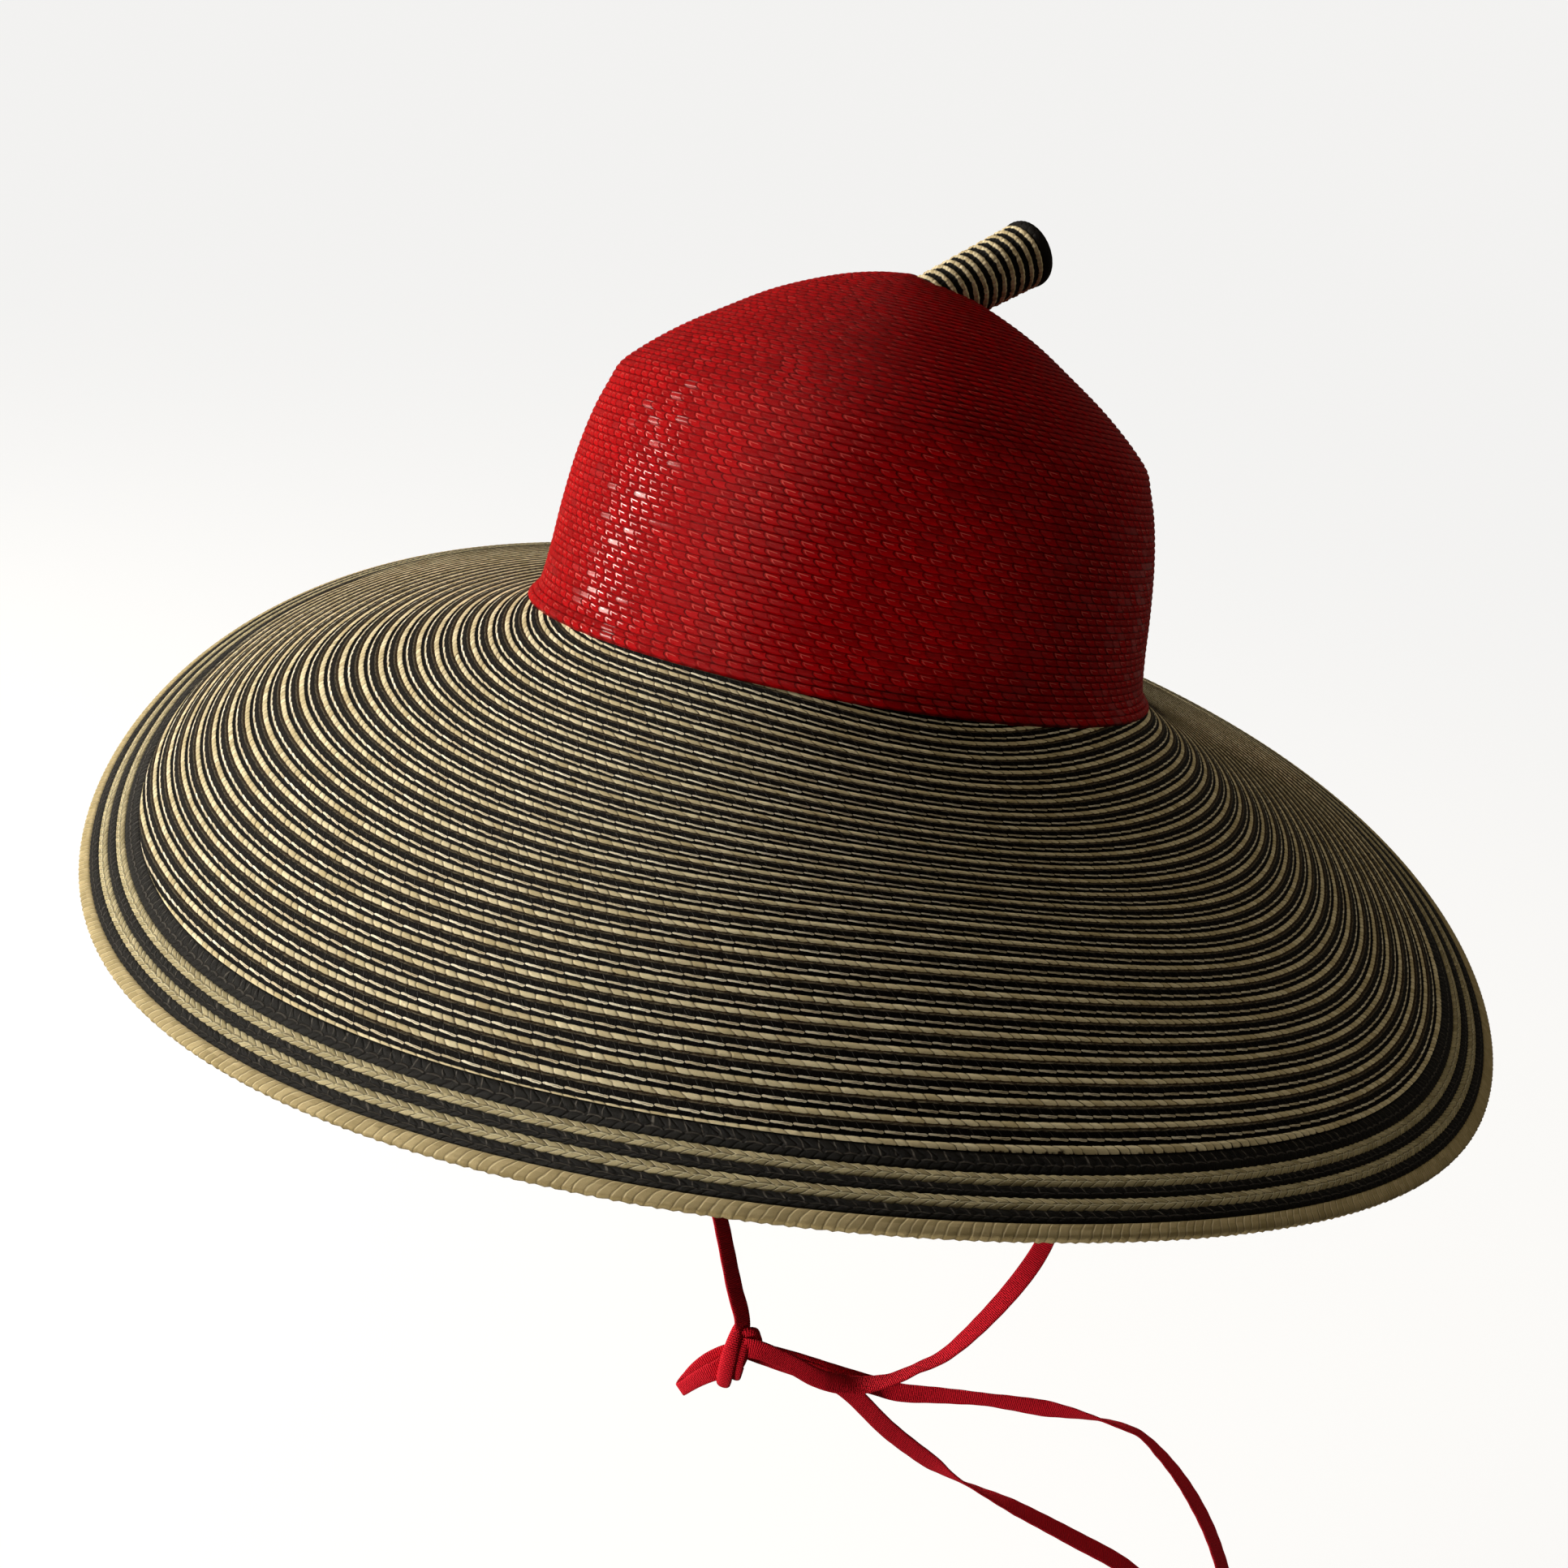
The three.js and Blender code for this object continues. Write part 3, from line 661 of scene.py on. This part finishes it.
edge_finishes = {
    "black": edge_finish(
        "black_straw", "black",
        (0.0022, 0.0018, 0.0014, 1), (0.009, 0.008, 0.006, 1), (0.15, 0.135, 0.115, 1),
    ),
    "natural": edge_finish(
        "natural_straw", "natural",
        (0.32, 0.26, 0.13, 1), (0.76, 0.66, 0.39, 1), (0.98, 0.91, 0.64, 1),
    ),
    "rim": edge_finish(
        "rim_straw", "rim",
        (0.42, 0.33, 0.16, 1), (0.64, 0.52, 0.28, 1), (0.86, 0.75, 0.46, 1),
    ),
}

edge_start = BRIM_WIDTH - sum(width for _, width, _ in EDGE_ROWS)
for number, (name, width, look) in enumerate(EDGE_ROWS):
    start = edge_start - EDGE_TUCK
    end = edge_start + width + (RIM_BACK if look == "rim" else EDGE_LAP)
    edge_start += width

    def edge_place(u, ring, start=start, end=end, look=look, number=number):
        share, sunk = np.array(EDGE_SECTION)[ring.astype(int)].T
        angle = 2 * math.pi * u
        turns = u * edge_stitches * EDGE_TURNS + EDGE_SHIFT * number
        beat = 2 * math.pi * turns
        scallop = 0.16 * np.cos(beat) * (share - 0.5) * 2
        if look == "rim":
            beat = 2 * math.pi * (turns + 1.1 * share**0.5)
            scallop = 0.2 * np.cos(beat) * np.maximum(share - 0.5, 0) * 2
        pillow = np.where(sunk < 0, 0.1 * np.cos(beat + 1.2 * (share - 0.5)), 0)
        distance = start + (end - start) * share + scallop
        return brim_point(angle, distance, sunk * WALL + EDGE_SUNK - pillow * 0.5)

    def edge_weave(u, ring, middle, number=number):
        share = np.array(EDGE_SECTION)[ring.astype(int), 0]
        return u * edge_stitches + EDGE_SHIFT * number, share

    row = surface(name + "_plait", EDGE_AROUND, len(EDGE_SECTION) - 1, edge_place, edge_weave)
    wear(row, edge_finishes[look], "black_straw" if look == "black" else "natural_straw", name)


# Stem. A short plait of natural and black straw wound round a core and sewn on beside the tip, where
# it leans back and a little up. It ends in a rounded knob of the black straw alone.
STEM_FOOT = np.array([-3.6, 23.5, 102.3])
STEM_HEADING = math.radians(74)
STEM_RISE = math.radians(25.7)
STEM_LENGTH = 32
STEM_END_LENGTH = 5
STEM_FOOT_RADIUS = 8.4
STEM_END_RADIUS = 9.3
STEM_SUNK = 13
STEM_PITCH = 3.4
STEM_LAST = 26.1  # where the last natural turn is
STEM_TURNS = 20  # the number that the last natural turn has
STEM_STRAWS = 24  # straws side by side in one turn
TURN_RISE = 0.36  # how far a natural turn stands up
TURN_PEAK = 0.1  # and how much narrower it is at its top
STEM_AROUND = 120
STEM_RINGS = 120

STEM_TAN, STEM_PALE = (0.50, 0.40, 0.22, 1), (0.88, 0.76, 0.50, 1)
STEM_GAP = (0.15, 0.10, 0.05, 1)
STEM_DEEP, STEM_WORN = (0.003, 0.0025, 0.002, 1), (0.018, 0.015, 0.011, 1)
KNOB_LIGHT = (0.022, 0.019, 0.016, 1)

stem_axis = np.array([
    math.cos(STEM_RISE) * math.cos(STEM_HEADING), math.cos(STEM_RISE) * math.sin(STEM_HEADING),
    math.sin(STEM_RISE),
])
stem_side = np.cross((0, 0, 1), stem_axis)
stem_side /= np.linalg.norm(stem_side)
stem_up = np.cross(stem_axis, stem_side)


def stem_point(angle, along, radius):
    across = np.outer(stem_side, np.cos(angle)) + np.outer(stem_up, np.sin(angle))
    return STEM_FOOT[:, None] + stem_axis[:, None] * along + across * radius


# The rings from inside the crown to the end of the winding: place along the stem, radius, turns
winding_end = STEM_LENGTH - STEM_END_LENGTH - 0.05
winding_rings = [(-STEM_SUNK, 0, 0)]
for ring in range(STEM_RINGS + 1):
    along = -STEM_SUNK + (winding_end + STEM_SUNK) * ring / STEM_RINGS
    radius = STEM_FOOT_RADIUS + (STEM_END_RADIUS - STEM_FOOT_RADIUS) * along / STEM_LENGTH
    winding_rings.append((along, radius, (along - STEM_LAST) / STEM_PITCH + STEM_TURNS))
winding_rings.append((winding_end, 0, (winding_end - STEM_LAST) / STEM_PITCH + STEM_TURNS))
winding_rings = np.array(winding_rings)


def winding_place(u, ring):
    along, radius, turns = winding_rings[ring.astype(int)].T
    phase = 2 * math.pi * turns
    relief = np.where(radius > 0, TURN_RISE * np.cos(phase) + TURN_PEAK * np.cos(2 * phase), 0)
    fuzz = np.where(radius > 0, 0.08 * np.sin(2 * math.pi * 31 * u + 2.1 * turns), 0)
    return stem_point(2 * math.pi * u, along, radius + relief + fuzz)


def winding_weave(u, ring, middle):
    return u * STEM_STRAWS, winding_rings[ring.astype(int)][:, 2]


winding = surface(
    "stem_winding_plait", STEM_AROUND, len(winding_rings) - 1, winding_place, winding_weave
)

banded = Finish("stem_straw", {"IOR": 1.46, "Specular IOR Level": 0.16})
along, across = banded.weave()
ragged = banded.drift(130.0) * 0.36 + banded.drift(700.0) * 0.22
turn = (across + 0.5 + ragged).part()
stripe = turn.band(0.28, 0.72, 0.03)
fibre = banded.cloud(along * 6.0, across * 3.0, 6.0)
strand = (along * 2.0 + turn * 0.8).part()
strand_tone = banded.chance((along * 2.0 + turn * 0.8).floor(), across.floor())
natural = banded.mix(strand_tone, STEM_TAN, STEM_PALE)
natural = banded.mix(strand.step(0.14, 0.0) * 0.7, natural, STEM_GAP)
black = banded.mix(fibre.step(0.5, 0.8), STEM_DEEP, STEM_WORN)
banded.feed("Base Color", banded.mix(stripe, black, natural))
banded.feed("Roughness", 0.6 - stripe * 0.12)
banded.relief(fibre * 0.5 + (1 - abs(strand * 2 - 1) ** 3.0) * 0.5, 0.3)
wear(winding, banded, "two_tone_straw", "stem_winding")

# From the winding to the tip of the knob: place along the stem, and radius
END_PROFILE = [
    (27.0, 0), (27.0, 8.8), (27.3, 9.35), (28.2, 9.75), (29.4, 9.7), (30.4, 9.3), (31.2, 8.4),
    (31.8, 6.8), (32.2, 4.6), (32.3, 2.2), (32.35, 0),
]
END_STRAW = 3.0  # width of one turn of the black straw
end_line, _, end_slant = curve_through(END_PROFILE, 4)


def end_place(u, ring):
    along, radius = end_line[ring.astype(int)].T
    fuzz = 0.07 * np.sin(2 * math.pi * 29 * u + 1.7 * ring) * np.minimum(radius / 9, 1)
    return stem_point(2 * math.pi * u, along, np.maximum(radius + fuzz, 0) * (radius > 0))


def end_weave(u, ring, middle):
    return u * STEM_STRAWS, end_slant[ring.astype(int)] / END_STRAW


knob = surface("stem_end_plait", STEM_AROUND, len(end_line) - 1, end_place, end_weave)
dark = Finish("stem_black_straw", {"IOR": 1.46, "Specular IOR Level": 0.12})
along, across = dark.weave()
fibre = dark.cloud(along * 5.0, across * 6.0, 6.0)
strand = (along + across * 0.5).part()
dark.feed("Base Color", dark.mix(fibre, STEM_DEEP, KNOB_LIGHT))
dark.feed("Roughness", 0.42 + fibre * 0.25)
dark.relief(fibre * 0.6 + (1 - abs(strand * 2 - 1) ** 3.0) * 0.5, 0.35)
wear(knob, dark, "black_straw", "stem_end")


# Tie. A flat red ribbon, knitted with fine cross ribs, sewn inside the crown on each side. It goes
# down as two straps, is tied below in a half bow, and leaves two long free ends.
TIE_WIDTH = 6.0
TIE_THICKNESS = 1.2
TIE_GIRTH = 13.6  # the way round its section
TIE_FRONT = np.array([0.49, -0.77, 0.4])  # where its flat side faces unless it is turned
TIE_AROUND = 20
TIE_STEP = 0.8
TIE_RIPPLE, TIE_RIPPLE_PITCH = 0.06, 7.3
TIE_BUNCHED = 2  # from this thickness on, the ribbon is gathered and its section is rounder
KNIT_DEEP, KNIT_BRIGHT = (0.34, 0.002, 0.008, 1), (0.90, 0.022, 0.045, 1)
KNIT_SHEEN = (1.0, 0.2, 0.25, 1)
TIE_LEFT = [  # place, and turn of the flat side about the route in degrees
    (-77.6, -25.3, 7, 106), (-78.6, -27.5, -3, 106), (-76.8, -28.6, -14, 106), (-43, -36, -65, 114),
    (-8, -43, -117, 124), (27, -50, -168, 134), (39.5, -53.5, -186, 138), (44.5, -54, -194, 138),
    (47, -55.5, -203, 138),
]
TIE_RIGHT = [
    (73.8, 28.4, 13, -74), (78.3, 27.8, 2, -74), (80.3, 27.8, -10, -70), (87, 30, -60, -55),
    (94, 33, -120, -35), (98, 34, -155, -18), (99, 31, -175, -5), (97, 19, -190, 30),
    (90, -2, -208, 68), (85, -10, -212.4, 78), (80, -18, -215.8, 70), (73, -27, -217, 38),
    (66, -37, -213, 4), (59, -46.4, -205.5, -8), (52.6, -54.5, -200.2, -8), (48.8, -57, -200.2, -8),
]
TIE_TAIL_A = [
    (48, -53, -204, 0), (57, -42, -210.3, 0), (64.5, -32, -216, 0), (70.5, -25.5, -221.5, 0),
    (83, -14.5, -236.5, 5), (94.5, -3, -249, 20), (101, 3, -255, 62), (109.5, 10, -260, 90),
    (119, 18, -265.5, 120), (136, 33, -276.8, 136), (152, 48, -289, 140), (164, 59, -303, 142),
]
TIE_TAIL_B = [
    (46, -52, -205.5, 0), (55, -38, -212.4, 0), (65, -26, -218.4, 0), (74, -16, -223, 0),
    (81, -10, -225, 0), (91, -1, -225, 20), (103, 8, -224, 35), (118, 19, -224, 15),
    (128, 26.5, -224.7, 50), (137, 33, -226, 88), (144, 39, -229, 95), (150, 44, -235, 113),
    (157, 50, -244, 124), (164, 56, -255, 135), (171, 61, -267, 139), (178, 66, -282, 142),
    (184, 71, -298, 142),
]


def ribbon_route(rows, across=None):
    """The ribbon's middle line in small even steps, the directions of its width and of its flat
    side, and its length. A wrap or a fold has the direction of its width given instead of turns."""
    line, place, length = curve_through([row[:3] for row in rows])
    steps = np.linspace(0, length[-1], max(12, round(length[-1] / TIE_STEP)) + 1)
    route = np.stack([np.interp(steps, length, line[:, i]) for i in range(3)], axis=1)
    along = np.gradient(route, axis=0)
    along /= np.linalg.norm(along, axis=1)[:, None]
    if across is not None:
        wide = across - along * (along @ across)[:, None]
        wide /= np.linalg.norm(wide, axis=1)[:, None]
        return route, wide, np.cross(along, wide), length[-1]
    face = TIE_FRONT - along * (along @ TIE_FRONT)[:, None]
    face /= np.linalg.norm(face, axis=1)[:, None]
    turns = [row[3] for row in rows]
    turn = np.radians(np.interp(np.interp(steps, length, place), range(len(rows)), turns))
    face = face * np.cos(turn)[:, None] + np.cross(along, face) * np.sin(turn)[:, None]
    return route, np.cross(face, along), face, length[-1]


def ribbon_skin(name, rows, across=None, widths=(TIE_WIDTH,), thickness=TIE_THICKNESS):
    """A flat ribbon with soft thicker edges and closed ends, along its route. The widths are spread
    evenly along it."""
    route, wide, face, length = ribbon_route(rows, across)
    last = len(route) + 1
    width = np.interp(np.linspace(0, len(widths) - 1, len(route)), range(len(widths)), widths)
    squareness = (0.55, 0.7) if thickness < TIE_BUNCHED else (0.9, 1)

    def place(u, ring):
        at = np.clip(ring - 1, 0, len(route) - 1).astype(int)
        angle = 2 * math.pi * u
        x, y = (
            np.sign(side) * np.abs(side) ** power
            for side, power in zip((np.cos(angle), np.sin(angle)), squareness)
        )
        y = y * (0.86 + 0.14 * x**4)
        ripple = TIE_RIPPLE * np.sin(2 * math.pi * at * TIE_STEP / TIE_RIPPLE_PITCH) * x
        open_ring = ((ring > 0) & (ring < last)).astype(float)
        x, y = x * width[at] / 2 * open_ring, (y * thickness / 2 + ripple) * open_ring
        return (route[at] + wide[at] * x[:, None] + face[at] * y[:, None]).T

    def weave(u, ring, middle):
        return u * TIE_GIRTH, np.clip(ring - 1, 0, len(route) - 1) * length / (len(route) - 1)

    return surface(name, TIE_AROUND, last, place, weave), route, length


def knit(name):
    """Fine cross ribs of red knit, each of small loops."""
    finish = Finish(name, {
        "Roughness": 0.85, "IOR": 1.4, "Specular IOR Level": 0.2,
        "Sheen Weight": 0.12, "Sheen Roughness": 0.4, "Sheen Tint": KNIT_SHEEN,
    })
    along, across = finish.weave()
    course_at = across * 1.65 + (finish.cloud(along, across, 0.5) - 0.5) * 0.5
    course, rib = course_at.floor(), course_at.part()
    loop = (along * 1.1 + course * 0.5).part()
    fibre = finish.cloud(along, across, 3.0)
    rise = (1 - abs(rib * 2 - 1) ** 2.0) * (0.55 + 0.45 * (1 - abs(loop * 2 - 1) ** 2.0))
    # Painted shade: the knit is darker between its ribs and lighter on their tops; the cloudy change
    # of the fibre is its own
    finish.feed("Base Color", finish.mix(rise * 0.6 + fibre * 0.5, KNIT_DEEP, KNIT_BRIGHT))
    finish.relief(rise + fibre * 0.5, 0.3)
    return finish


ribbon_knit = knit("red_knit_ribbon")
tie_pieces = {}
for name, rows, node in (
    ("left_strap", TIE_LEFT, "tie_left"), ("right_strap", TIE_RIGHT, "tie_right"),
    ("front_tail", TIE_TAIL_A, "tie_tail_a"), ("back_tail", TIE_TAIL_B, "tie_tail_b"),
):
    piece, route, length = ribbon_skin(name, rows)
    wear(piece, ribbon_knit, "red_knit", node)
    tie_pieces[name] = (piece, route, length)


# Knot. The half bow's knot: the ribbon passes twice round the straps and is drawn tight, so that it
# bunches over a small core. Its short loop is the ribbon folded double, with a little air in the fold.
KNOT = np.array([47.0, -56.0, -205.0])
KNOT_SIDES = np.array([CAMERA_RIGHT, CAMERA_UP, CAMERA_BACK])
# Places and directions from the knot: to the right, up and forward, as the camera sees it
LOOP = [
    (-1, -1, 1.2), (-5, -3.2, 2.4), (-9, -4.9, 2.3), (-13.2, -7.6, 0.6), (-16.6, -10.4, -1.6),
    (-17.9, -11.4, -2.9), (-17.2, -10.5, -4.0), (-13.6, -6.2, -3.0), (-9.4, -2.9, -1.8),
    (-4, -0.6, -1.4), (0, 0, -1),
]
LOOP_ACROSS, LOOP_WIDTHS = (0.5, -0.85, 0.0), (7.4, 5.6, 4.4, 4.4, 6.0, 7.4)
FRONT_TURN = [
    (1.4, 5.6, -3.2), (1.2, 8.2, -1.6), (0.2, 8.6, 1.2), (-1.3, 5.6, 3.9), (-2.8, 0.6, 4.9),
    (-3.9, -4.4, 4.2), (-4.5, -7.9, 1.6), (-4.2, -8.3, -0.8), (-3.2, -5.6, -2.8),
]
BACK_TURN = [
    (3.4, 4.0, -2.6), (3.2, 6.4, -0.4), (2.2, 6.0, 2.2), (1.0, 2.4, 3.7), (-0.3, -2.0, 3.8),
    (-0.9, -5.4, 2.2), (-0.8, -6.4, -0.4), (0.2, -4.4, -2.6),
]
HITCH = [
    (-0.4, 5.6, 1.4), (1.6, 7.0, 2.2), (4.0, 7.2, 1.8), (5.6, 5.8, 0.4), (5.8, 4.0, -1.4),
    (4.6, 3.0, -2.8),
]
TURN_ACROSS, HITCH_ACROSS = (0.93, -0.32, 0.1), (-0.3, 0.9, 0.2)
# Each ribbon of the knot: route, direction of its width, widths along it, thickness
KNOT_RIBBONS = {
    "front_turn": (FRONT_TURN, TURN_ACROSS, (3.0, 3.8, 5.0, 4.8, 3.2), 3.2),
    "back_turn": (BACK_TURN, TURN_ACROSS, (2.8, 3.6, 4.0, 3.0), 2.8),
    "knot_hitch": (HITCH, HITCH_ACROSS, (2.6, 4.0, 3.6), 2.8),
}
CORE_HALF = (4.2, 7.0, 3.2)
CORE_AROUND, CORE_RINGS = 32, 24
CORE_LEAN = 0.32  # how far to the right it leans for each millimetre up
CORE_RIGHT, CORE_UP = -1.2, -0.6
CORE_GIRTH, CORE_STEP = 30.0, 0.8  # for the knit: the way round it, and from ring to ring


def by_the_knot(name, places, across, widths, thickness=TIE_THICKNESS):
    """A short ribbon whose route and width are given from the knot."""
    route = [tuple(KNOT + np.array(place) @ KNOT_SIDES) for place in places]
    return ribbon_skin(name, route, np.array(across) @ KNOT_SIDES, widths, thickness)[0]


def gathered(name, parts):
    """Several skins as one piece."""
    sheet = bmesh.new()
    for part in parts:
        sheet.from_mesh(part.data)
        bpy.data.objects.remove(part)
    mesh = bpy.data.meshes.new(name)
    sheet.to_mesh(mesh)
    sheet.free()
    piece = bpy.data.objects.new(name, mesh)
    bpy.context.scene.collection.objects.link(piece)
    return piece


def core_place(u, ring):
    angle, tilt = 2 * math.pi * u, math.pi * (ring / CORE_RINGS - 0.5)
    wide, high, deep = CORE_HALF
    right, up = wide * np.cos(tilt) * np.cos(angle), high * np.sin(tilt)
    ball = [right + CORE_LEAN * up + CORE_RIGHT, up + CORE_UP, deep * np.cos(tilt) * np.sin(angle)]
    return KNOT[:, None] + KNOT_SIDES.T @ np.stack(ball)


def core_weave(u, ring, middle):
    return u * CORE_GIRTH, ring * CORE_STEP


knot_parts = [surface("knot_core", CORE_AROUND, CORE_RINGS, core_place, core_weave)]
for name, ribbon in KNOT_RIBBONS.items():
    knot_parts.append(by_the_knot(name, *ribbon))
knot = gathered("half_bow_knot", knot_parts)
wear(knot, ribbon_knit, "red_knit", "tie_knot")
loop = by_the_knot("half_bow_loop", LOOP, LOOP_ACROSS, LOOP_WIDTHS)
wear(loop, ribbon_knit, "red_knit", "tie_loop")

for name, far_end, companions in (
    ("left_strap", "knot", [knot, loop]), ("right_strap", "knot", []),
    ("front_tail", "bare", []), ("back_tail", "bare", []),
):
    piece, route, length = tie_pieces[name]
    path = [tuple(point * MM) for point in (*route[::4], route[-1])]
    tuple(route[0] * MM)
    length * MM


# Floor and light. A plain pale floor far below the hat sweeps up into a pale wall all round, and sheds
# no light on the hat. One broad soft lamp stands on the left. Three weak ones fill in from the front,
# from below and from behind, as in a small studio.
FLOOR = -0.42  # metres, as everything in this section
# From the middle of the floor to the top of the wall: distance from the middle, and height
SWEEP = [
    (0.0, 0.0), (6.0, 0.0), (6.9, 0.16), (7.6, 0.6), (8.0, 1.3), (8.1, 2.1), (8.1, 3.0), (8.1, 8.0),
]
FLOOR_PALE = (0.16, 0.16, 0.155, 1)
FLOOR_LIGHT = (1.0, 0.995, 0.985, 1)
LAMP_AIM = Vector((0, 0, -0.02))
ROOM_LIGHT = (1.0, 0.9, 0.75, 1)

sweep = bmesh.new()
profile = [sweep.verts.new((reach, 0, FLOOR + height)) for reach, height in SWEEP]
lines = [sweep.edges.new(pair) for pair in zip(profile, profile[1:])]
bmesh.ops.spin(
    sweep, geom=profile + lines, cent=(0, 0, 0), axis=(0, 0, 1), dvec=(0, 0, 0), angle=2 * math.pi,
    steps=96, use_merge=True, use_duplicate=False,
)
bmesh.ops.remove_doubles(sweep, verts=sweep.verts, dist=0.0001)
bmesh.ops.recalc_face_normals(sweep, faces=sweep.faces)
for face in sweep.faces:
    face.smooth = True
floor_mesh = bpy.data.meshes.new("floor")
sweep.to_mesh(floor_mesh)
sweep.free()
floor = bpy.data.objects.new("floor", floor_mesh)
bpy.context.scene.collection.objects.link(floor)
pale = Finish("pale_floor", {
    "Base Color": FLOOR_PALE, "Roughness": 0.9, "Specular IOR Level": 0.0,
    "Emission Color": FLOOR_LIGHT, "Emission Strength": 0.88,
})
floor.data.materials.append(pale.material)
floor.visible_diffuse = False
floor.visible_glossy = False

for name, place, size, power, colour in (
    ("key_lamp", (-1.16, -0.56, 0.4), (0.4, 0.8), 31, (1.0, 0.94, 0.84)),
    ("front_lamp", (-0.3, -1.4, 0.7), (0.8, 0.8), 1.2, (1.0, 0.88, 0.68)),
    ("low_lamp", (-0.15, -1.15, -0.33), (0.4, 0.3), 12, (1.0, 0.92, 0.8)),
    ("back_lamp", (0.6, 0.9, 0.8), (0.4, 0.4), 3.2, (1.0, 0.86, 0.62)),
):
    lamp = bpy.data.lights.new(name, "AREA")
    lamp.shape = "RECTANGLE"
    lamp.size, lamp.size_y = size
    lamp.energy = power
    lamp.color = colour
    stand = bpy.data.objects.new(name, lamp)
    aim = (LAMP_AIM - Vector(place)).to_track_quat("-Z", "Y")
    stand.matrix_world = Matrix.Translation(place) @ aim.to_matrix().to_4x4()
    stand.visible_glossy = name == "key_lamp"
    bpy.context.scene.collection.objects.link(stand)

world = bpy.data.worlds.new("studio")
world.use_nodes = True
room = world.node_tree.nodes["Background"]
room.inputs["Color"].default_value = ROOM_LIGHT
room.inputs["Strength"].default_value = 0.07
bpy.context.scene.world = world
bpy.context.scene.view_settings.view_transform = "Standard"
